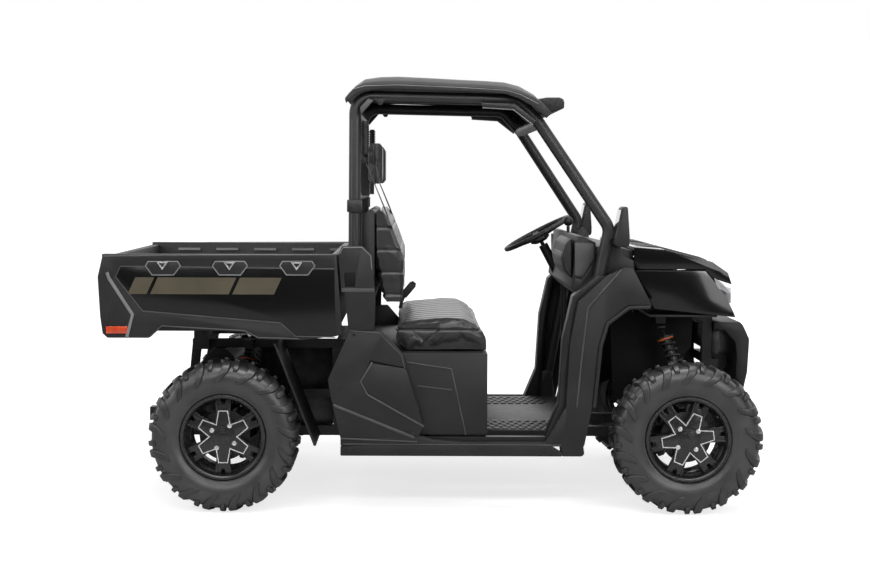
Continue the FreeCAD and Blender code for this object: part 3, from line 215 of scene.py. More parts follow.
def make_floor():
    """A pale floor that glows a little for the camera only, up to white away from the vehicle."""
    data = bpy.data.meshes.new("floor")
    size = FLOOR_REACH
    data.from_pydata([(-size, -size, 0), (size, -size, 0), (size, size, 0), (-size, size, 0)], [], [(0, 1, 2, 3)])
    floor = add_object("floor", data)
    material, tree, principled = shader("studio_floor")
    principled.inputs["Base Color"].default_value = (FLOOR_TONE, FLOOR_TONE, FLOOR_TONE, 1)
    principled.inputs["Roughness"].default_value = 0.9
    principled.inputs["Specular IOR Level"].default_value = 0.1
    principled.inputs["Emission Color"].default_value = (1, 1, 1, 1)
    coordinates = tree.nodes.new("ShaderNodeTexCoord")
    reach = add_node(tree, "ShaderNodeVectorMath", operation="LENGTH")
    link(tree, coordinates, "Object", reach, 0)
    rise = map_range(tree, reach, "Value", FLOOR_GLOW_REACH, FLOOR_GLOW)
    path = tree.nodes.new("ShaderNodeLightPath")
    seen = add_node(tree, "ShaderNodeMath", operation="MULTIPLY")
    link(tree, rise, "Result", seen, 0)
    link(tree, path, "Is Camera Ray", seen, 1)
    link(tree, seen, "Value", principled, "Emission Strength")
    data.materials.append(material)


def make_world():
    """White where the camera, glass and metal look at the backdrop, softer on what it lights and in front."""
    world = bpy.data.worlds.new("studio")
    bpy.context.scene.world = world
    world.use_nodes = True
    tree = world.node_tree
    background = tree.nodes["Background"]
    background.inputs["Color"].default_value = (1, 1, 1, 1)
    coordinates = tree.nodes.new("ShaderNodeTexCoord")
    split = tree.nodes.new("ShaderNodeSeparateXYZ")
    link(tree, coordinates, "Generated", split, "Vector")
    behind = map_range(tree, split, "Y", WORLD_GLOSS_DEPTH, WORLD_GLOSS)
    path = tree.nodes.new("ShaderNodeLightPath")
    shiny = add_node(tree, "ShaderNodeMath", operation="ADD", use_clamp=True)
    link(tree, path, "Is Glossy Ray", shiny, 0)
    link(tree, path, "Is Transmission Ray", shiny, 1)
    soft = add_node(tree, "ShaderNodeMix", [("A", WORLD_SOFT)], data_type="FLOAT")
    link(tree, shiny, "Value", soft, 0)
    link(tree, behind, "Result", soft, "B")
    white = add_node(tree, "ShaderNodeMix", [("B", 1.0)], data_type="FLOAT")
    link(tree, path, "Is Camera Ray", white, 0)
    link(tree, soft, "Result", white, "A")
    link(tree, white, "Result", background, "Strength")


def make_lights():
    for name, (place, target, size, power) in LIGHTS.items():
        data = bpy.data.lights.new(name, "AREA")
        data.shape = "RECTANGLE"
        data.size, data.size_y = size
        data.energy = power
        direction = Vector(target) - Vector(place)
        turn = direction.to_track_quat("-Z", "Y").to_matrix().to_4x4()
        add_object(name, data).matrix_world = Matrix.Translation(place) @ turn


# Pieces
def add_piece(name, verts, faces, material, body="chassis", slot="body_plastic", smooth=0.0, bevel=0.0, segments=2):
    """A new mesh piece on a body. smooth is the angle in degrees below which its edges shade smoothly."""
    data = bpy.data.meshes.new(name)
    data.from_pydata([tuple(v) for v in verts], [], faces)
    facing = bmesh.new()
    facing.from_mesh(data)
    bmesh.ops.recalc_face_normals(facing, faces=facing.faces)
    facing.to_mesh(data)
    facing.free()
    piece = add_object(name, data)
    data.materials.append(look[material])
    if bevel:
        round_off(piece, bevel, segments, 28)
    if smooth:
        shade(piece, smooth)
    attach(piece, body)
    return piece


def add_modifier(piece, kind, **settings):
    modifier = piece.modifiers.new(kind.lower(), kind)
    for name, value in settings.items():
        setattr(modifier, name, value)


def round_off(piece, width, segments, angle):
    add_modifier(piece, "BEVEL", width=width, segments=segments, limit_method="ANGLE", angle_limit=math.radians(angle),
                 use_clamp_overlap=False, miter_outer="MITER_ARC")


def shade_group(angle):
    """A node group that shades smooth across every edge flatter than the angle."""
    name = "shade_%d" % angle
    if name in bpy.data.node_groups:
        return bpy.data.node_groups[name]
    group = bpy.data.node_groups.new(name, "GeometryNodeTree")
    for way in ("INPUT", "OUTPUT"):
        group.interface.new_socket("Geometry", in_out=way, socket_type="NodeSocketGeometry")
    start = group.nodes.new("NodeGroupInput")
    end = group.nodes.new("NodeGroupOutput")
    faces = add_node(group, "GeometryNodeSetShadeSmooth", domain="FACE")
    edges = add_node(group, "GeometryNodeSetShadeSmooth", domain="EDGE")
    turn = group.nodes.new("GeometryNodeInputMeshEdgeAngle")
    flat = add_node(group, "FunctionNodeCompare", [(1, math.radians(angle))], data_type="FLOAT", operation="LESS_THAN")
    link(group, start, 0, faces, "Geometry")
    link(group, faces, 0, edges, "Geometry")
    link(group, turn, "Unsigned Angle", flat, 0)
    link(group, flat, "Result", edges, "Shade Smooth")
    link(group, edges, 0, end, 0)
    return group


def shade(piece, angle):
    add_modifier(piece, "NODES", node_group=shade_group(int(angle)))


def soften(node, width, bevel_angle, smooth_angle):
    """A carried-over CAD node: its facets joined, its edges eased and its round faces shaded round."""
    add_modifier(node, "WELD", merge_threshold=WELD_REACH)
    add_modifier(node, "DECIMATE", decimate_type="DISSOLVE", angle_limit=math.radians(FLAT_ANGLE))
    if width:
        round_off(node, width, 2, bevel_angle)
    shade(node, smooth_angle)


# Forms, each as its points and faces
def grid(rows, columns, wrap_rows=False, wrap_columns=False):
    """The faces between rows of points."""
    faces = []
    for i in range(rows if wrap_rows else rows - 1):
        a, b = i * columns, (i + 1) % rows * columns
        for k in range(columns if wrap_columns else columns - 1):
            n = (k + 1) % columns
            faces.append((a + k, b + k, b + n, a + n))
    return faces


def lathe(profile, sectors, closed=False):
    """Rings of points about the Y axis from (radius, y) pairs, the last ring joined to the first if closed."""
    verts = []
    for i in range(sectors):
        turn = 2 * math.pi * i / sectors
        for radius, y in profile:
            verts.append(Vector((radius * math.sin(turn), y, radius * math.cos(turn))))
    return verts, grid(sectors, len(profile), True, closed)


def disc(y0, y1, radius, sectors):
    """A short cylinder about the Y axis, with a pinhole too small to see."""
    return lathe([(0.0005, y0), (radius, y0), (radius, y1), (0.0005, y1)], sectors)


def metres(outline):
    return [(x / 1000, z / 1000) for x, z in outline]


def slab(outline, y0, y1):
    """A prism along Y from an outline of (x, z) pairs."""
    count = len(outline)
    verts = [Vector((x, y, z)) for y in (y0, y1) for x, z in outline]
    faces = [tuple(range(count)), tuple(range(2 * count - 1, count - 1, -1))]
    faces += [(i, (i + 1) % count, count + (i + 1) % count, count + i) for i in range(count)]
    return verts, faces


def block(low, high):
    verts = [Vector((x, y, z)) for x in (low[0], high[0]) for y in (low[1], high[1]) for z in (low[2], high[2])]
    return verts, [(0, 1, 3, 2), (4, 6, 7, 5), (0, 4, 5, 1), (2, 3, 7, 6), (0, 2, 6, 4), (1, 5, 7, 3)]


def tube(points, radius, sides=12, closed=False):
    """A round tube along points, its ring turned with the path."""
    points = [Vector(p) for p in points]
    verts = []
    last = len(points) - 1
    side = None
    for i, point in enumerate(points):
        before = points[i - 1] if i or closed else point
        after = points[(i + 1) % len(points)] if i < last or closed else point
        ahead = (after - before).normalized()
        if side is None:
            side = ahead.orthogonal().normalized()
        side = (side - ahead * side.dot(ahead)).normalized()
        up = ahead.cross(side)
        for k in range(sides):
            turn = 2 * math.pi * k / sides
            verts.append(point + side * radius * math.cos(turn) + up * radius * math.sin(turn))
    faces = grid(len(points), sides, closed, True)
    if not closed:
        faces.append(tuple(range(sides - 1, -1, -1)))
        faces.append(tuple(range(last * sides, last * sides + sides)))
    return verts, faces


def band(points, width):
    """The outline of a strip of even width along a line of (x, z) points, in millimetres."""
    left, right = [], []
    for i, point in enumerate(points):
        before, after = Vector(points[max(i - 1, 0)]), Vector(points[min(i + 1, len(points) - 1)])
        ahead = (after - before).normalized()
        across = Vector((-ahead.y, ahead.x)) * width / 2
        left.append(Vector(point) + across)
        right.append(Vector(point) - across)
    return [(p.x, p.y) for p in left + right[::-1]]


def frame_of(outline, inset, y0, y1):
    """A raised band inside a clockwise outline, as wide as the inset."""
    count = len(outline)
    inner = []
    for i in range(count):
        before, here, after = Vector(outline[i - 1]), Vector(outline[i]), Vector(outline[(i + 1) % count])
        a, b = (here - before).normalized(), (after - here).normalized()
        normal = Vector((a.y + b.y, -a.x - b.x)).normalized()
        grow = inset / max(0.45, abs(Vector((a.y, -a.x)).dot(normal)))
        inner.append(here + normal * grow)
    verts = [Vector((x, y, z)) for ring in (outline, inner) for y in (y0, y1) for x, z in ring]
    faces = []
    for i in range(count):
        k = (i + 1) % count
        faces += [(i, k, count + k, count + i), (count + i, count + k, 3 * count + k, 3 * count + i),
                  (2 * count + i, 3 * count + i, 3 * count + k, 2 * count + k)]
    return verts, faces


def joined(parts):
    verts, faces = [], []
    for some_verts, some_faces in parts:
        base = len(verts)
        verts += some_verts
        faces += [tuple(base + k for k in face) for face in some_faces]
    return verts, faces


def moved(part, matrix):
    verts, faces = part
    return [matrix @ Vector(v) for v in verts], faces


def turned(part, degrees):
    return moved(part, rotation(degrees, "Y"))


def mirrored(part, sign):
    return moved(part, Matrix.Diagonal((1, sign, 1, 1)))


def both_sides(part):
    return joined([mirrored(part, sign) for _, sign in SIDES])


def plate(name, outline, near, far, material, bevel, slot="body_plastic", body="chassis", smooth=30):
    """A plate on both sides of the vehicle. Its outline, its two faces' distances from the middle and its bevel
    are in millimetres."""
    part = both_sides(slab(metres(outline), near / 1000, far / 1000))
    return add_piece(name, *part, material, body, slot, smooth, bevel / 1000)


# Wheels
TYRE_RADIUS = 0.336
LUGS = 17
TYRE_SECTORS = 120
WHEELS = {
    "front": {"x": 1.0925, "y": 0.69, "width": 0.23, "turn": 21.5},
    "rear": {"x": -0.9575, "y": 0.65, "width": 0.28, "turn": 0.0},
}
# The tyre's half section, from the bead to the middle of the tread: radius and share of the width
TYRE_SECTION = [
    (0.176, 0.3), (0.179, 0.35), (0.185, 0.368), (0.19, 0.372), (0.1935, 0.392), (0.1985, 0.396),
    (0.2015, 0.402), (0.212, 0.43), (0.226, 0.452), (0.242, 0.466), (0.26, 0.468), (0.276, 0.456),
    (0.29, 0.434), (0.302, 0.404), (0.311, 0.366), (0.3165, 0.32), (0.319, 0.24), (0.3195, 0.12),
]
# A lug's stations: radius, share of the width, degrees turned, half width and height in millimetres
LONG_LUG = [
    (0.3195, 0.01, -1.6, 12, 16), (0.3192, 0.11, -0.6, 14, 16.5), (0.3188, 0.21, 1.6, 16, 16.5),
    (0.3165, 0.3, 2.6, 18, 16), (0.312, 0.355, 2.8, 19, 15), (0.303, 0.4, 2.4, 19, 14),
    (0.29, 0.434, 1.2, 18, 11.5), (0.276, 0.455, -0.8, 17, 9), (0.262, 0.466, -3.4, 16, 7),
    (0.25, 0.468, -5.6, 13, 5.5),
]
SHORT_LUG = [
    (0.319, 0.19, 0.0, 9, 16.5), (0.3172, 0.29, 0.4, 12, 15.5), (0.312, 0.355, 0.6, 13, 13),
    (0.3035, 0.398, 0.6, 12, 11), (0.296, 0.42, 0.4, 9, 5),
]
LUG_ROOT = -0.004
LUG_ROOT_SPREAD = 1.12
LUG_TOP_SPREAD = 0.86
SHORT_LUG_SHIFT = 0.48
RIM_EDGE_SHARE = 0.386
RIM_LIP = 0.009
FACE_INSET = 0.026
# The rim's section, as radius and distance in from its edge: both flanges, and the outer side's inside
RIM_FLANGE = [(0.186, 0.0), (0.188, 0.003), (0.188, 0.007), (0.1765, 0.01), (0.1765, 0.034), (0.16, 0.052)]
RIM_FACE = [(0.178, 0.001), (0.172, 0.006), (0.169, 0.016), (0.166, 0.044), (0.152, 0.056)]
SPOKE_DEPTH = 0.02
SPOKES = 6
# Stars: inner and outer radius of the arms, radius of the valleys, and half widths of an arm at neck and foot
HUB_STAR = (0.07, 0.116, 0.063, 0.029, 0.021)
TRIM_STAR = (0.07, 0.1165, 0.0635, 0.0295, 0.0215)
NUTS = 4
NUT_RADIUS = 0.057
NUT_TURN = 30
SPOKE = [(-0.04, 0.05), (-0.03, 0.092), (-0.036, 0.168), (-0.012, 0.17), (-0.007, 0.142), (0.007, 0.142),
         (0.012, 0.17), (0.036, 0.168), (0.03, 0.092), (0.04, 0.05)]
SPOKE_RIB = [(-0.036, 0.166), (-0.029, 0.096), (-0.022, 0.096), (-0.028, 0.166)]


def lug(stations, width, side):
    """One lug that follows the tyre's section from station to station."""
    verts, faces = [], []
    for i, (radius, share, turn, half, height) in enumerate(stations):
        before = stations[max(i - 1, 0)]
        after = stations[min(i + 1, len(stations) - 1)]
        along = Vector(((after[1] - before[1]) * width, 0, after[0] - before[0])).normalized()
        out = Vector((-along.z, 0, along.x))
        for lift, spread in ((LUG_ROOT, LUG_ROOT_SPREAD), (height / 1000, LUG_TOP_SPREAD)):
            y = share * width + out.x * lift
            r = radius + out.z * lift
            for sign in (-1, 1):
                angle = math.radians(turn) + sign * half * spread / 1000 / r
                verts.append(Vector((r * math.sin(angle), side * y, r * math.cos(angle))))
    for i in range(len(stations) - 1):
        a, b = i * 4, i * 4 + 4
        faces += [(a + 2, a + 3, b + 3, b + 2), (a, a + 2, b + 2, b), (a + 3, a + 1, b + 1, b + 3),
                  (a + 1, a, b, b + 1)]
    end = len(verts) - 4
    faces += [(0, 1, 3, 2), (end, end + 2, end + 3, end + 1)]
    return verts, faces


def make_tyre(width):
    half = [(r, share * width) for r, share in TYRE_SECTION]
    section = half + [(r, -y) for r, y in reversed(half)]
    parts = []
    step = 360 / LUGS
    for i in range(LUGS):
        for side, shift in ((1, 0.0), (-1, 0.5)):
            parts.append(turned(lug(LONG_LUG, width, side), (i + shift) * step))
            parts.append(turned(lug(SHORT_LUG, width, side), (i + shift + SHORT_LUG_SHIFT) * step))
    return lathe(section, TYRE_SECTORS, True), joined(parts)


def star_outline(inner, outer, valley, neck, foot):
    """A six-armed outline of (x, z) points, whose arms are neck half wide at the inner radius and foot half wide
    at the tip, with valleys between them."""
    points = []
    for i in range(SPOKES):
        turn = math.radians(60 * i)
        across = Vector((math.cos(turn), -math.sin(turn)))
        out = Vector((math.sin(turn), math.cos(turn)))
        for half, radius in ((-neck, inner), (-foot, outer), (foot, outer), (neck, inner)):
            points.append(out * radius + across * half)
        middle = math.radians(60 * i + 30)
        points.append(Vector((math.sin(middle), math.cos(middle))) * valley)
    return [(p.x, p.y) for p in points]


def make_rim(width):
    """The rim with its spokes and hub, the star, the nuts, the brake disc and the valve."""
    edge = width * RIM_EDGE_SHARE + RIM_LIP
    face = edge - FACE_INSET
    barrel = [(0.158, -edge), (0.174, -edge)] + [(r, y - edge) for r, y in RIM_FLANGE]
    barrel += [(r, edge - y) for r, y in reversed(RIM_FLANGE)] + [(r, edge - y) for r, y in RIM_FACE]
    barrel += [(0.152, 0.05 - edge), (0.158, 0.03 - edge)]
    metal = [lathe(barrel, 96, True)]
    other_rib = [(-x, z) for x, z in SPOKE_RIB]
    for i in range(SPOKES):
        turn = 60 * i
        metal.append(turned(slab(SPOKE, face - SPOKE_DEPTH, face - 0.003), turn))
        for rib in (SPOKE_RIB, other_rib):
            metal.append(turned(slab(rib, face - 0.01, face + 0.001), turn))
    metal.append(slab(star_outline(*HUB_STAR), face - SPOKE_DEPTH, face + 0.001))
    metal += [disc(face - 0.009, face + 0.006, 0.044, 64), disc(face - 0.009, face + 0.013, 0.034, 48),
              disc(face + 0.012, face + 0.0155, 0.024, 48)]
    star = frame_of(star_outline(*TRIM_STAR), 0.0042, face - 0.002, face + 0.0025)
    nuts = []
    for i in range(NUTS):
        turn = math.radians(90 * i + NUT_TURN)
        place = Matrix.Translation((NUT_RADIUS * math.sin(turn), 0, NUT_RADIUS * math.cos(turn)))
        nuts.append(moved(disc(face - 0.009, face + 0.004, 0.0105, 24), place))
        nuts.append(moved(disc(face + 0.002, face + 0.012, 0.0075, 6), place))
    back = face - SPOKE_DEPTH - 0.034
    brake = [disc(back - 0.006, back - 0.002, 0.112, 64), disc(back - 0.008, face - 0.012, 0.06, 48)]
    valve = moved(disc(edge - 0.03, edge - 0.004, 0.004, 16), Matrix.Translation((0.08, 0, 0.14)))
    return joined(metal), star, joined(nuts), joined(brake), valve


def make_wheels():
    for end, wheel in WHEELS.items():
        carcass, lugs = make_tyre(wheel["width"])
        rim, star, nuts, brake, valve = make_rim(wheel["width"])
        for side, sign in reversed(SIDES):
            place = Matrix.Translation((wheel["x"], sign * wheel["y"], TYRE_RADIUS))
            place = place @ Matrix.Diagonal((1, sign, 1, 1)) @ rotation(wheel["turn"], "Y")
            tag = end + "_" + side
            for name, part, material, slot, smooth, bevel in (
                    ("tyre_carcass_", carcass, "tyre_rubber", "tyre_rubber", 40, 0.0),
                    # The lugs are painted darker than the carcass: painted shade.
                    ("tyre_lugs_", lugs, "lug_rubber", "tyre_rubber", 24, 0.0022),
                    ("wheel_face_", rim, "rim_paint", "rim_paint", 30, 0.0016),
                    ("wheel_star_", star, "machined", "rim_paint", 30, 0.0),
                    ("wheel_nuts_", nuts, "machined", "rim_paint", 40, 0.0008),
                    ("brake_disc_", brake, "dark_metal", "rim_paint", 30, 0.0008),
                    ("tyre_valve_", valve, "tyre_rubber", "tyre_rubber", 40, 0.0)):
                piece = add_piece(name + tag, *moved(part, place), material, "wheel_" + tag, slot, smooth, bevel)
                if part is carcass:
                    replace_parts(piece, "tyre_" + tag)
                if part is rim:
                    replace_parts(piece, "rim_" + tag)


# Cushions
CLOTH_STEPS = 20
CLOTH_SETTINGS = {"quality": 4, "use_pressure": True, "uniform_pressure_force": 4.0, "tension_stiffness": 12,
                  "compression_stiffness": 12, "bending_stiffness": 0.4}
REST_GAP = 0.001
SEAT_ROWS = (0.0, 0.118, 0.222, 0.326, 0.43, 0.534)
SEAT_HEIGHT_SHARE = 0.72
BACK_BARS = (0.96, 1.06, 1.16, 1.26)
BACK_STITCHES = (0.92, 1.0, 1.04, 1.1, 1.14, 1.2, 1.24, 1.3)
SEAM_WIDTH = 0.0055
SEAM_DEPTH = 0.0085


def settle(piece):
    """Applies the piece's modifiers to its own mesh."""
    depsgraph = bpy.context.evaluated_depsgraph_get()
    done = bpy.data.meshes.new_from_object(piece.evaluated_get(depsgraph))
    piece.modifiers.clear()
    old = piece.data
    piece.data = done
    bpy.data.meshes.remove(old)


def swell(piece, rest, cap):
    """Blows the piece up with cloth pressure, no point further than the cap from its rest place."""
    cloth = piece.modifiers.new("cloth", "CLOTH")
    for name, value in CLOTH_SETTINGS.items():
        setattr(cloth.settings, name, value)
    cloth.settings.effector_weights.gravity = 0.0
    cloth.collision_settings.use_collision = False
    for step in range(CLOTH_STEPS):
        bpy.context.scene.frame_set(step + 1)
    settle(piece)
    bpy.context.scene.frame_set(1)
    for vertex, place in zip(piece.data.vertices, rest):
        shift = vertex.co - place
        if shift.length > cap:
            shift *= cap / shift.length
        vertex.co = place + shift


def padded_piece(node, name, voxel, inset, cap, flat_side, height_share=1.0):
    """A stuffed piece in the place of a CAD solid: remeshed, drawn in, and swollen by cloth pressure."""
    piece = add_object(name, nodes[node].data.copy())
    add_modifier(piece, "WELD", merge_threshold=WELD_REACH)
    add_modifier(piece, "REMESH", mode="VOXEL", voxel_size=voxel)
    settle(piece)
    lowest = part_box(node)[0]
    for vertex in piece.data.vertices:
        vertex.co.z = lowest.z + (vertex.co.z - lowest.z) * height_share
    piece.data.update()
    rest = [v.co - v.normal * inset for v in piece.data.vertices]
    for vertex, place in zip(piece.data.vertices, rest):
        vertex.co = place
    swell(piece, rest, cap)
    for vertex in piece.data.vertices:
        if flat_side == "below":
            vertex.co.z = max(vertex.co.z, lowest.z + REST_GAP)
        if flat_side == "behind":
            vertex.co.x = max(vertex.co.x, lowest.x + REST_GAP)
    piece.data.materials.clear()
    piece.data.materials.append(look["vinyl"])
    add_modifier(piece, "SUBSURF", levels=1, render_levels=1)
    settle(piece)
    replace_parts(piece, node)
    return piece


def press(piece, lines, width, depth):
    """Sews channels into a cushion. Each line is a function from a point's place to its distance from the seam,
    or to None away from it."""
    data = piece.data
    data.update()
    shifts = []
    for vertex in data.vertices:
        sink = 0.0
        for distance in lines:
            gap = distance(vertex.co)
            if gap is not None and abs(gap) < width * 3:
                sink = max(sink, depth * math.exp(-(gap / width) ** 2))
        shifts.append(vertex.normal * sink)
    for vertex, shift in zip(data.vertices, shifts):
        vertex.co = vertex.co - shift
    for face in data.polygons:
        face.use_smooth = True
    data.update()


def tree_of(data):
    return BVHTree.FromPolygons([v.co for v in data.vertices], [tuple(p.vertices) for p in data.polygons])


def stitches(name, piece, paths, gap=0.0075, size=(0.0042, 0.0011, 0.0009)):
    """Rows of thread dashes laid on a cushion along paths of two points."""
    tree = tree_of(piece.data)
    half = Vector(size) / 2
    parts = []
    for start, end in paths:
        start, end = Vector(start), Vector(end)
        count = int((end - start).length / gap)
        for i in range(count):
            hit, normal, _, _ = tree.find_nearest(start.lerp(end, (i + 0.5) / count))
            if hit is None:
                continue
            ahead = (end - start).normalized()
            ahead = (ahead - normal * ahead.dot(normal)).normalized()
            turn = Matrix((ahead, normal.cross(ahead), normal)).transposed().to_4x4()
            parts.append(moved(block(-half, half), Matrix.Translation(hit) @ turn))
    add_piece(name, *joined(parts), "stitch", slot="vinyl")


def make_cushions():
    seat = padded_piece("seat_cushions", "seat_cushion_pads", 0.009, 0.007, 0.014, "below", SEAT_HEIGHT_SHARE)
    top = max(v.co.z for v in seat.data.vertices) - 0.004
    channels = [lambda p, row=row: (abs(p.y) - row) if p.z > top - 0.055 else None for row in SEAT_ROWS]
    piping = [lambda p: p.z - (top - 0.05), lambda p: (p.x - 0.175) if p.z > top - 0.05 else None]
    press(seat, channels + piping, SEAM_WIDTH, SEAM_DEPTH)
    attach(seat, "chassis")
    paths = [[(-0.17, sign * (row + shift), top), (0.165, sign * (row + shift), top)]
             for row in SEAT_ROWS[1:] for sign in (-1, 1) for shift in (-0.008, 0.008)]
    stitches("seat_cushion_stitches", seat, paths)
    back = padded_piece("seat_backs", "seat_back_pads", 0.009, 0.007, 0.014, "behind")
    channels = [lambda p, row=row: abs(p.y) - row for row in SEAT_ROWS]
    bars = [lambda p, z=z: p.z - z if abs(p.y) < 0.625 else None for z in BACK_BARS]
    press(back, channels + bars, SEAM_WIDTH, SEAM_DEPTH)
    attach(back, "chassis")
    paths = []
    for z in BACK_STITCHES:
        x = -0.18 - 0.16 * (z - 0.9)
        paths += [[(x, sign * 0.13, z), (x, sign * 0.62, z)] for sign in (-1, 1)]
    stitches("seat_back_stitches", back, paths, 0.016, (0.007, 0.0022, 0.0014))
    rests = padded_piece("headrests", "headrest_pads", 0.006, 0.006, 0.011, "none")
    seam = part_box("headrests")[0].x + 0.022
    press(rests, [lambda p: p.x - seam], 0.004, 0.005)
    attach(rests, "chassis")


# Carried-over solids
ROUND_NODES = {"hoop_left", "hoop_right", "cage_crossbars", "chassis_frame", "front_arms", "rear_arms", "front_shocks",
               "rear_shocks", "muffler", "steering_column", "winch", "drive_line", "steering_rack", "tie_rings",
               "knuckle_left", "knuckle_right", "rear_knuckles", "hitch_receiver", "driver_controls"}
BIG_EDGES = {"front_bumper": 0.004, "rocker_panels": 0.004, "quarter_panels": 0.004, "bed_side_panels": 0.0035,
             "front_fenders": 0.0035, "seat_base": 0.004, "mirrors": 0.003, "roof_panel": 0.003, "dash_panel": 0.004,
             "pillar_covers": 0.003, "tailgate": 0.003, "front_side_panels": 0.002, "hood": 0.002}
SMALL_EDGE = 0.0015
FINISHES = {"muffler": "dark_metal", "radiator": "dark_metal", "tie_rings": "machined", "engine_block": "dark_metal"}
UNDRESSED = {"seat_cushions", "seat_backs", "headrests", "steering_wheel"}


def dress_nodes():
    for name, node in nodes.items():
        if name in UNDRESSED or name.startswith(("tyre_", "rim_")):
            continue
        node.data.materials.clear()
        node.data.materials.append(look[FINISHES.get(name, slot_of[name])])
        if name in ROUND_NODES:
            soften(node, 0.0, 52, 50)
        else:
            soften(node, BIG_EDGES.get(name, SMALL_EDGE), 14, 34)


# Steering wheel
STEERING_LEAN = 27.7
STEERING_PLACE = (0.511, 0.35, 1.204)
# A spoke's stations: reach from the middle, half width, and the heights of its upper and lower face
STEERING_SPOKE = ((0.03, 0.03, -0.014, -0.03), (0.09, 0.02, -0.01, -0.022), (0.168, 0.013, 0.003, -0.006))
STEERING_BOSS = [(0.0005, -0.008), (0.04, -0.01), (0.05, -0.02), (0.052, -0.036), (0.03, -0.048),
                 (0.0005, -0.05)]


def make_steering_wheel():
    place = Matrix.Translation(STEERING_PLACE) @ rotation(-STEERING_LEAN, "Y")
    radius, grip, count = 0.1745, 0.0125, 72
    turns = [2 * math.pi * i / count for i in range(count)]
    ring = tube([(radius * math.cos(a), radius * math.sin(a), 0) for a in turns], grip, 16, True)
    rim = add_piece("steering_rim", *moved(ring, place), "wheel_grip", "steering_wheel", "wheel_grip", 40)
    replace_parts(rim, "steering_wheel")
    parts = []
    for turn in (math.radians(a) for a in (90, 210, 330)):
        across = Vector((-math.sin(turn), math.cos(turn), 0))
        out = Vector((math.cos(turn), math.sin(turn), 0))
        verts, faces = [], []
        for reach, half, high, low in STEERING_SPOKE:
            for lift, sign in ((high, -1), (high, 1), (low, 1), (low, -1)):
                verts.append(out * reach + across * half * sign + Vector((0, 0, lift)))
        for i in (0, 4):
            faces += [(i + k, i + (k + 1) % 4, i + 4 + (k + 1) % 4, i + 4 + k) for k in range(4)]
        faces += [(0, 3, 2, 1), (8, 9, 10, 11)]
        parts.append((verts, faces))
    parts.append(moved(lathe(STEERING_BOSS, 48), rotation(90, "X")))
    add_piece("steering_hub", *moved(joined(parts), place), "wheel_grip", "steering_wheel", "wheel_grip", 40, 0.003, 3)


# Roof
ROOF_TOP = [(-426, 1835), (-408, 1858), (-380, 1884), (-340, 1902), (-270, 1908), (-191, 1910), (-50, 1904),
            (88, 1897), (200, 1892), (286, 1886), (353, 1869), (419, 1840), (462, 1806), (488, 1776)]
ROOF_LOW = [(-420, 1812), (-396, 1838), (-366, 1858), (-330, 1870), (-270, 1874), (-191, 1875), (-50, 1871),
            (88, 1866), (200, 1862), (286, 1855), (345, 1835), (405, 1800), (444, 1770), (466, 1748)]
# The skin's ribs and arch: distance from the middle in metres and rise over ROOF_TOP in millimetres
ROOF_SECTION = [(0.0, 40), (0.09, 40), (0.11, 30), (0.22, 29), (0.24, 39), (0.33, 37), (0.35, 27), (0.44, 25),
                (0.46, 33), (0.54, 29), (0.59, 20), (0.64, 9), (0.672, 1), (0.686, -8)]
ROOF_HALF = 0.689
ROOF_EASE = 130


def make_roof():
    """A moulded roof: long ribs over an arched skin, with a skirt that follows the tube below it."""
    verts, faces = [], []
    rows = [(-y, z) for y, z in reversed(ROOF_SECTION)] + ROOF_SECTION[1:]
    count = len(rows) + 2
    rear, front = ROOF_TOP[0][0], ROOF_TOP[-1][0]
    for (x_top, z_top), (x_low, z_low) in zip(ROOF_TOP, ROOF_LOW):
        ease = min(1.0, (x_top - rear) / ROOF_EASE, (front - x_top) / ROOF_EASE)
        ease = math.sin(max(ease, 0.0) * math.pi / 2)
        verts.append(Vector((x_low / 1000, -ROOF_HALF, z_low / 1000)))
        for y, rise in rows:
            lift = rise * ease if rise > 0 else rise
            verts.append(Vector((x_top / 1000, y, (z_top + lift) / 1000)))
        verts.append(Vector((x_low / 1000, ROOF_HALF, z_low / 1000)))
    for i in range(len(ROOF_TOP) - 1):
        a, b = i * count, (i + 1) * count
        faces += [(a + k, a + k + 1, b + k + 1, b + k) for k in range(count - 1)]
    roof = add_piece("roof_skin", verts, faces, "body_plastic")
    add_modifier(roof, "SOLIDIFY", thickness=0.005, offset=-1)
    round_off(roof, 0.0022, 2, 18)
    shade(roof, 34)
    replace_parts(roof, "roof_panel")


# Plates on both sides: outline, near and far face and bevel in millimetres, and a slot that isn't body_plastic
BED_FACE = 734.5
PANEL_FACE = 734.0
SEAT_BASE_FACE = 699.8
BED_INSET = [(-1409, 1085), (-1430, 1043), (-1312, 895), (-704, 844), (-636, 785), (-463, 782), (-468, 1077)]
# The bed's inset line, rail line and corner and lower bevels are pale bands: painted highlights.
BED_PLATES = (
    ("bed_side_gloss", BED_INSET, BED_FACE, 736.8, "gloss_plastic", 1, "gloss_plastic"),
    ("bed_inset_line", band([(-468, 1080), (-1411, 1088), (-1433, 1043), (-1314, 891), (-705, 840), (-638, 781),
                             (-463, 778)], 5), BED_FACE, 737.5, "soft_trim", 1.2),
    ("bed_corner_bevel", band([(-1470, 1062), (-1462, 1036), (-1358, 875), (-1383, 776)], 15), BED_FACE, 738.5,
     "light_trim", 2.5),
    ("bed_lower_bevel", band([(-1280, 778), (-1228, 826), (-1084, 817), (-866, 806), (-803, 775), (-622, 771)], 6),
     BED_FACE, 738, "soft_trim", 1.8),
    ("bed_rail_line", band([(-1488, 1131), (-1200, 1137), (-480, 1141)], 5), BED_FACE, 737, "soft_trim", 1.2),
)
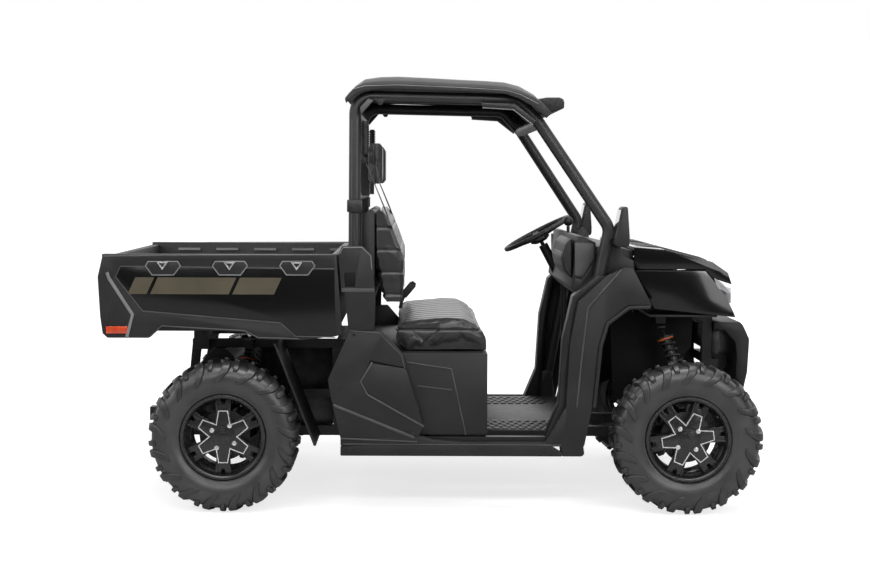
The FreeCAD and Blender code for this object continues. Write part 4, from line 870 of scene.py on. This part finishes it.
# The pale lines, edges, creases, ridges and ledge strips in this table, the dash's end panel and the rear gussets are
# painted highlights.
CHASSIS_PLATES = (
    ("roof_edge_line", band([(-395, 1872), (-340, 1888), (-191, 1893), (88, 1882), (286, 1871), (353, 1852),
                             (430, 1812)], 3), 688.5, 690.5, "light_trim", 0.6),
    ("quarter_recess", [(-303, 665), (-346, 581), (-316, 530), (-72, 388), (-150, 641)], PANEL_FACE, 739.5,
     "body_plastic", 4.5),
    ("quarter_ridge", band([(-472, 478), (-112, 334)], 13), PANEL_FACE, 739, "soft_trim", 3.5),
    ("quarter_recess_edge", band([(-300, 668), (-351, 582), (-320, 524), (-70, 383)], 9), PANEL_FACE, 740.5,
     "soft_trim", 3),
    ("quarter_low_ridge", band([(-440, 330), (-100, 316)], 7), PANEL_FACE, 738.5, "soft_trim", 3),
    ("quarter_edge_line", band([(-404, 808), (-268, 796), (-172, 698), (-156, 640), (-76, 388)], 4), PANEL_FACE, 737,
     "soft_trim", 1.2),
    # The cover pocket is a near-black plate: painted shade in the pocket.
    ("cover_pocket", [(-421, 1064), (-376, 1064), (-376, 1001), (-421, 1001)], PANEL_FACE, 736.2, "deep_black", 0.8),
    ("cover_strip", [(-437, 994), (-292, 994), (-290, 978), (-437, 978)], PANEL_FACE, 737.2, "soft_trim", 1.2),
    ("cover_edge", band([(-445, 1146), (-430, 1174), (-347, 1176), (-308, 1138), (-303, 1078)], 4), PANEL_FACE, 737,
     "light_trim", 1.2),
    ("seat_base_crease", band([(-150, 665), (50, 636), (116, 340)], 6), SEAT_BASE_FACE, 704.2, "soft_trim", 2.2),
    ("seat_base_fold", band([(-100, 560), (52, 542)], 4), SEAT_BASE_FACE, 703, "soft_trim", 1.2),
    ("fender_crease", band([(800, 1084), (651, 912), (625, 690), (605, 470)], 8), PANEL_FACE, 738.5, "soft_trim", 3.5),
    ("fender_flare", band([(928, 916), (832, 913), (738, 842), (709, 744), (682, 470)], 18), PANEL_FACE, 742.5,
     "body_plastic", 6),
    ("sill_fairings", [(-440, 296), (-440, 336), (-80, 340), (-30, 324), (110, 314), (466, 314), (556, 470), (612, 470),
                       (640, 262), (628, 252), (541, 252), (536, 296)], 625, 734.5, "body_plastic", 5),
    ("sill_line", band([(-430, 305), (535, 303)], 4), PANEL_FACE, 736.8, "soft_trim", 1.2),
    ("headlamp_brow", [(1222, 1042), (1262, 1018), (1296, 978), (1282, 972), (1240, 996)], 615, 642, "lamp_lens",
     3, "lamp_lens"),
    ("mirror_glass", [(765, 1212), (768, 1232), (790, 1345), (787, 1345), (763, 1232), (761, 1212)], 672, 786,
     "mirror_glass", 0),
    ("mirror_stalk", band([(754, 1190), (775, 1186), (800, 1190)], 16), 625, 664, "body_plastic", 4),
    ("pillar_clamp", [(-415, 1384), (-350, 1384), (-350, 1330), (-415, 1330)], 650, 696, "dark_metal", 4,
     "cage_paint"),
    # The inner aprons and the cowl's inner walls are near-black sheets standing in for the shade behind the fenders and
    # under the hood: painted shade.
    ("inner_aprons", [(800, 860), (1185, 860), (1178, 700), (1060, 560), (905, 470), (812, 430)], 335, 339,
     "deep_black", 1),
    ("cowl_inner_walls", [(872, 1062), (1150, 1078), (1190, 1066), (1240, 1020), (1262, 966), (1240, 900), (880, 915)],
     602, 606, "deep_black", 1),
    ("pillar_foot_brackets", [(742, 1212), (772, 1232), (800, 1205), (812, 1140), (862, 1118), (866, 1052), (735, 1060),
                              (728, 1140)], 610, 664, "body_plastic", 5),
    ("dash_end_panel", [(604, 1196), (688, 1190), (690, 1120), (640, 1040), (606, 1046)], 599, 604, "soft_trim",
     3),
    ("dash_low_panel", [(606, 1034), (636, 1028), (684, 1096), (690, 1010), (612, 952), (600, 980)], 599, 603,
     "frame_paint", 3),
    ("seat_back_shells", [(-352, 1318), (-318, 1338), (-293, 1330), (-293, 930), (-318, 905), (-340, 905), (-352, 940)],
     40, 630, "body_plastic", 7),
    ("roof_tabs", [(-294, 1834), (-246, 1834), (-262, 1806), (-277, 1806)], 654, 666, "dark_metal", 1.5,
     "cage_paint"),
    ("rear_corner_gussets", [(-356, 1762), (-300, 1826), (-322, 1834), (-358, 1796)], 646, 672, "soft_trim", 2.5,
     "cage_paint"),
    ("front_corner_gussets", [(178, 1818), (330, 1814), (424, 1738), (408, 1722), (322, 1788), (188, 1796)], 648,
     664, "cage_paint", 3, "cage_paint"),
    ("front_gusset_edges", band([(184, 1795), (322, 1787), (409, 1720)], 4), 647, 666.5, "light_trim", 1.2,
     "cage_paint"),
    ("door_frame_trims", [(468, 311), (546, 311), (562, 467), (580, 755), (614, 940), (735, 1051), (690, 1051),
                          (588, 960), (546, 770), (528, 480), (468, 336)], 605, 700, "frame_paint", 4),
)
MIRROR = [(792, 1352), (806, 1361), (816, 1356), (825, 1230), (825, 1196), (818, 1184), (770, 1184), (760, 1196),
          (766, 1230)]
# Mouldings across the cab: outline, the places of both ends, material, bevel and its segments
CROSS_PIECES = (
    ("roof_visor", [(430, 1838), (478, 1846), (534, 1846), (551, 1839), (556, 1824), (555, 1797), (528, 1790),
                    (476, 1774), (440, 1800)], -585, 585, "body_plastic", 6, 3),
    ("cowl_top", [(700, 1060), (704, 1176), (760, 1186), (868, 1160), (868, 1052)], -605, 605, "body_plastic", 6, 3),
    ("passenger_dash_pad", [(594, 1214), (566, 1190), (548, 1128), (560, 1072), (594, 1030)], -585, -60,
     "body_plastic", 10, 3),
    # The glove box lid is pale: painted highlight.
    ("glove_box_lid", [(552, 1150), (546, 1128), (555, 1084), (560, 1086), (552, 1128), (558, 1148)], -540, -110,
     "soft_trim", 2, 2),
)
FASTENERS = ((-455, 560), (-430, 400), (-380, 790), (-120, 352), (600, 500), (640, 860), (770, 1040), (-400, 278),
             (-20, 276), (470, 276))


def make_plates():
    for values in BED_PLATES:
        plate(*values, body="bed")
    for values in CHASSIS_PLATES:
        plate(*values)
    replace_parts(plate("mirror_housings", MIRROR, 660.0, 798.0, "body_plastic", 6.0, smooth=40), "mirrors")
    for name, outline, y0, y1, material, bevel, segments in CROSS_PIECES:
        part = slab(metres(outline), y0 / 1000, y1 / 1000)
        add_piece(name, *part, material, smooth=34, bevel=bevel / 1000, segments=segments)
    heads = []
    for x, z in FASTENERS:
        head = moved(disc(0.734, 0.7372, 0.0075, 20), Matrix.Translation((x / 1000, 0, z / 1000)))
        heads.append(both_sides(head))
    add_piece("panel_fasteners", *joined(heads), "dark_metal", smooth=30, bevel=0.001)


# Bed
POD = [(-1303, 1090), (-1290, 1112), (-1158, 1113), (-1143, 1091), (-1175, 1048), (-1272, 1048)]
POD_SHIFTS = (0, 295, 592)
POD_RISE = 0.004
TIE_RING = [(-1252, 1109), (-1200, 1109), (-1226, 1073)]
STRIPE_SPANS = ((-1345, -1262), (-1246, -900), (-884, -700))
STRIPE_TOP, STRIPE_BASE, STRIPE_SLANT = 1040, 966, 34
INNER_SLOTS = 5


def make_bed_details():
    for i, shift in enumerate(POD_SHIFTS):
        pod = [(x + shift, z + shift * POD_RISE) for x, z in POD]
        plate("bed_pod_%d" % (i + 1), pod, BED_FACE, 738.5, "body_plastic", 2.0, body="bed")
        ring = frame_of(metres((x + shift, z) for x, z in TIE_RING), 0.006, 0.735, 0.7425)
        # Each pod's rim is a pale band: painted highlight along its edges.
        edge = frame_of(metres(pod), 0.0045, BED_FACE / 1000, 0.7395)
        for side, sign in SIDES:
            tag = "%d_%s" % (i + 1, side)
            add_piece("bed_tie_ring_" + tag, *mirrored(ring, sign), "machined", "bed", "bare_steel", 30, 0.001)
            add_piece("bed_pod_edge_" + tag, *mirrored(edge, sign), "light_trim", "bed", smooth=30, bevel=0.0008)
    for i, (start, end) in enumerate(STRIPE_SPANS):
        stripe = [(start, STRIPE_TOP), (end, STRIPE_TOP), (end - STRIPE_SLANT, STRIPE_BASE),
                  (start - STRIPE_SLANT, STRIPE_BASE)]
        plate("bed_stripe_%d" % (i + 1), stripe, 736.6, 737.2, "tan_stripe", 0, "gloss_plastic", "bed")
    # The slots on the bed's inner walls are pale blocks: light painted into them.
    slots = []
    for _, sign in SIDES:
        for i in range(INNER_SLOTS):
            x = -1.36 + i * 0.2
            slots.append(block((x, sign * 0.631, 1.1), (x + 0.115, sign * 0.6345, 1.112)))
    add_piece("bed_inner_slots", *joined(slots), "light_trim", "bed", smooth=30)


# Hood ridges: their places across the hood and their two ends, and their section
HOOD_RIDGES = (0.2, 0.33, 0.455)
RIDGE_ENDS = (0.89, 1.255)
RIDGE_TURN_IN = 0.03
RIDGE_STEPS = 12
RIDGE_SECTION = ((-0.02, -0.002), (-0.009, 0.008), (0.009, 0.008), (0.02, -0.002))


def make_hood_ridges():
    """Raised spines laid on the hood's top, which rise and fall at their ends."""
    tree = tree_of(nodes["hood"].data)
    x0, x1 = RIDGE_ENDS
    parts = []
    for y0, sign in [(y, sign) for y in HOOD_RIDGES for sign in (-1, 1)]:
        verts = []
        for i in range(RIDGE_STEPS + 1):
            share = i / RIDGE_STEPS
            ease = math.sin(math.pi * min(0.5, min(share, 1 - share) * 4))
            x, y = x0 + (x1 - x0) * share, sign * (y0 - RIDGE_TURN_IN * share)
            for offset, lift in RIDGE_SECTION:
                hit = tree.ray_cast(Vector((x, y + offset, 2.5)), DOWN)
                if hit[0] is not None:
                    verts.append(hit[0] + Vector((0, 0, lift * ease)))
        if len(verts) % 4 == 0:
            parts.append((verts, grid(len(verts) // 4, 4)))
    add_piece("hood_ridges", *joined(parts), "gloss_plastic", "hood", "gloss_plastic", 50)


# Shocks: the place of the lower pin and of the upper pin on the left, and the coil's turns
SHOCKS = {
    "front": ((1.133, 0.489, 0.479), (1.022, 0.431, 0.802), 8),
    "rear": ((-0.908, 0.459, 0.481), (-0.881, 0.4, 0.676), 5),
}
COIL_STEPS = 20
COIL_RADIUS = 0.0345
COIL_WIRE = 0.0054


def make_shocks():
    """Coil springs over dampers, between the CAD's cross pins."""
    for end, (foot, top, turns) in SHOCKS.items():
        springs, dampers, rings = [], [], []
        for _, sign in SIDES:
            low, high = Vector((foot[0], sign * foot[1], foot[2])), Vector((top[0], sign * top[1], top[2]))
            span = (high - low).length
            place = Matrix.Translation(low) @ (high - low).to_track_quat("Y", "Z").to_matrix().to_4x4()
            helix = []
            for i in range(turns * COIL_STEPS + 1):
                share = i / (turns * COIL_STEPS)
                angle = 2 * math.pi * turns * share
                helix.append((COIL_RADIUS * math.cos(angle), span * (0.15 + 0.66 * share),
                              COIL_RADIUS * math.sin(angle)))
            springs.append(moved(tube(helix, COIL_WIRE, 8), place))
            case = [(0.0005, span * 0.34), (0.019, span * 0.34), (0.0225, span * 0.38), (0.0225, span * 0.84),
                    (0.0005, span * 0.84)]
            for part in (lathe(case, 32), disc(0.0, span, 0.009, 24), disc(span * 0.12, span * 0.145, 0.04, 40),
                         disc(span * 0.845, span * 0.865, 0.04, 40)):
                dampers.append(moved(part, place))
            rings.append(moved(disc(span * 0.815, span * 0.84, 0.037, 40), place))
            for point in (low, high):
                across = Matrix.Translation(point) @ rotation(90, "Z")
                dampers.append(moved(disc(-0.018, 0.018, 0.0138, 28), across))
        coil = add_piece(end + "_coil_springs", *joined(springs), "shock_metal", slot="shock_metal", smooth=50)
        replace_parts(coil, end + "_shocks")
        for name, parts, material in (("_dampers", dampers, "dark_metal"), ("_adjusters", rings, "orange_ring")):
            add_piece(end + name, *joined(parts), material, slot="shock_metal", smooth=35, bevel=0.001)


# Cab and nose
TREAD_ROWS = 9
TREAD_COLUMNS = 5
TREAD_HALF = (0.013, 0.02)
AXLE_BOOT_Y = 0.64
BAR_STEP = 0.026
BELT_X = -0.338
BELT_Y = 0.6
BUCKLE_PLACE = (-0.142, -0.213, 0.955)
BUCKLE_STALK = [(-0.18, -0.213, 0.865), (-0.176, -0.213, 0.895), (-0.164, -0.213, 0.925)]
CAGE_LINE_SPANS = ((0.84, 1.32), (1.39, 1.74))


def make_floor_treads():
    treads = []
    tree = tree_of(nodes["floor_pan"].data)
    half_x, half_y = TREAD_HALF
    for sign in (-1, 1):
        for i in range(TREAD_ROWS):
            for k in range(TREAD_COLUMNS):
                x, y = 0.225 + i * 0.038 + (0.019 if k % 2 else 0), sign * (0.3 + k * 0.055)
                hit = tree.ray_cast(Vector((x, y, 0.62)), DOWN)
                if hit[0] is not None and hit[0].z < 0.45:
                    z = hit[0].z
                    treads.append(block((x - half_x, y - half_y, z - 0.001), (x + half_x, y + half_y, z + 0.004)))
    add_piece("floor_treads", *joined(treads), "body_plastic", smooth=30, bevel=0.0015)


def make_nose_details():
    # The radiator bars are pale: painted highlights on them.
    bars = [block((1.3235, -0.25, 0.672 + i * BAR_STEP), (1.329, 0.25, 0.68 + i * BAR_STEP)) for i in range(4)]
    add_piece("radiator_bars", *joined(bars), "soft_trim", slot="bare_steel", smooth=30, bevel=0.0012)
    # The window behind the bumper's slats is a near-black block: painted shade in the opening.
    window = block((1.44, -0.225, 0.59), (1.461, 0.225, 0.712))
    add_piece("bumper_window", *window, "deep_black", smooth=30, bevel=0.006, segments=3)
    slats = [block((1.448, -0.215, 0.604 + i * BAR_STEP), (1.465, 0.215, 0.612 + i * BAR_STEP)) for i in range(4)]
    slats += [block((1.448, y - 0.006, 0.592), (1.466, y + 0.006, 0.71)) for y in (-0.11, 0.0, 0.11)]
    add_piece("bumper_slats", *joined(slats), "body_plastic", smooth=30, bevel=0.002)
    for side, sign in SIDES:
        place = Matrix.Translation((WHEELS["front"]["x"], sign * AXLE_BOOT_Y, TYRE_RADIUS))
        boot = moved(disc(-0.01, 0.01, 0.042, 32), place)
        add_piece("axle_boot_" + side, *boot, "wheel_grip", "knuckle_" + side, "cast_metal", 40, 0.003)


def make_belt_guides():
    """A ribbed belt guide on each side of the cab, behind the headrests."""
    upright = rotation(90, "X")
    for side, sign in SIDES:
        rings = [(disc(-0.0042, 0.0042, 0.017, 28), 1.6 + i * 0.0125) for i in range(11)]
        rings.append((disc(-0.075, 0.075, 0.0125, 24), 1.662))
        parts = [moved(ring, Matrix.Translation((BELT_X, sign * BELT_Y, z)) @ upright) for ring, z in rings]
        add_piece("belt_guide_" + side, *joined(parts), "wheel_grip", slot="webbing", smooth=40, bevel=0.0008)


def make_buckle():
    """The passenger's belt buckle, tilted forward on its stalk beside the seat back."""
    case = block((-0.017, -0.024, -0.04), (0.017, 0.024, 0.036))
    lip = block((-0.012, -0.019, 0.034), (0.012, 0.019, 0.044))
    place = Matrix.Translation(BUCKLE_PLACE) @ rotation(40, "Y")
    add_piece("belt_buckle", *moved(joined([case, lip]), place), "wheel_grip", slot="webbing", smooth=34,
              bevel=0.005, segments=3)
    add_piece("belt_buckle_stalk", *tube(BUCKLE_STALK, 0.0085, 16), "wheel_grip", slot="webbing", smooth=50)


def make_cage_lines():
    """Two pressed lines along the outer side of the rear upright, below and above the clamp, drawn as thin pale tubes:
    painted highlights.
    """
    parts = [tube([(x, sign * 0.6898, low), (x, sign * 0.6898, high)], 0.0016, 8)
             for _, sign in SIDES for x in (-0.394, -0.37) for low, high in CAGE_LINE_SPANS]
    add_piece("cage_pressed_lines", *joined(parts), "soft_trim", slot="cage_paint", smooth=50)


look = {name: finish(name, *values, **others) for name, (*values, others) in MATERIALS.items()}
make_camera()
make_floor()
make_world()
make_lights()
bpy.context.scene.view_settings.view_transform = "Standard"

dress_nodes()
make_wheels()
make_cushions()
make_steering_wheel()
make_roof()
make_plates()
make_bed_details()
make_hood_ridges()
make_floor_treads()
make_nose_details()
make_shocks()
make_belt_guides()
make_buckle()
make_cage_lines()
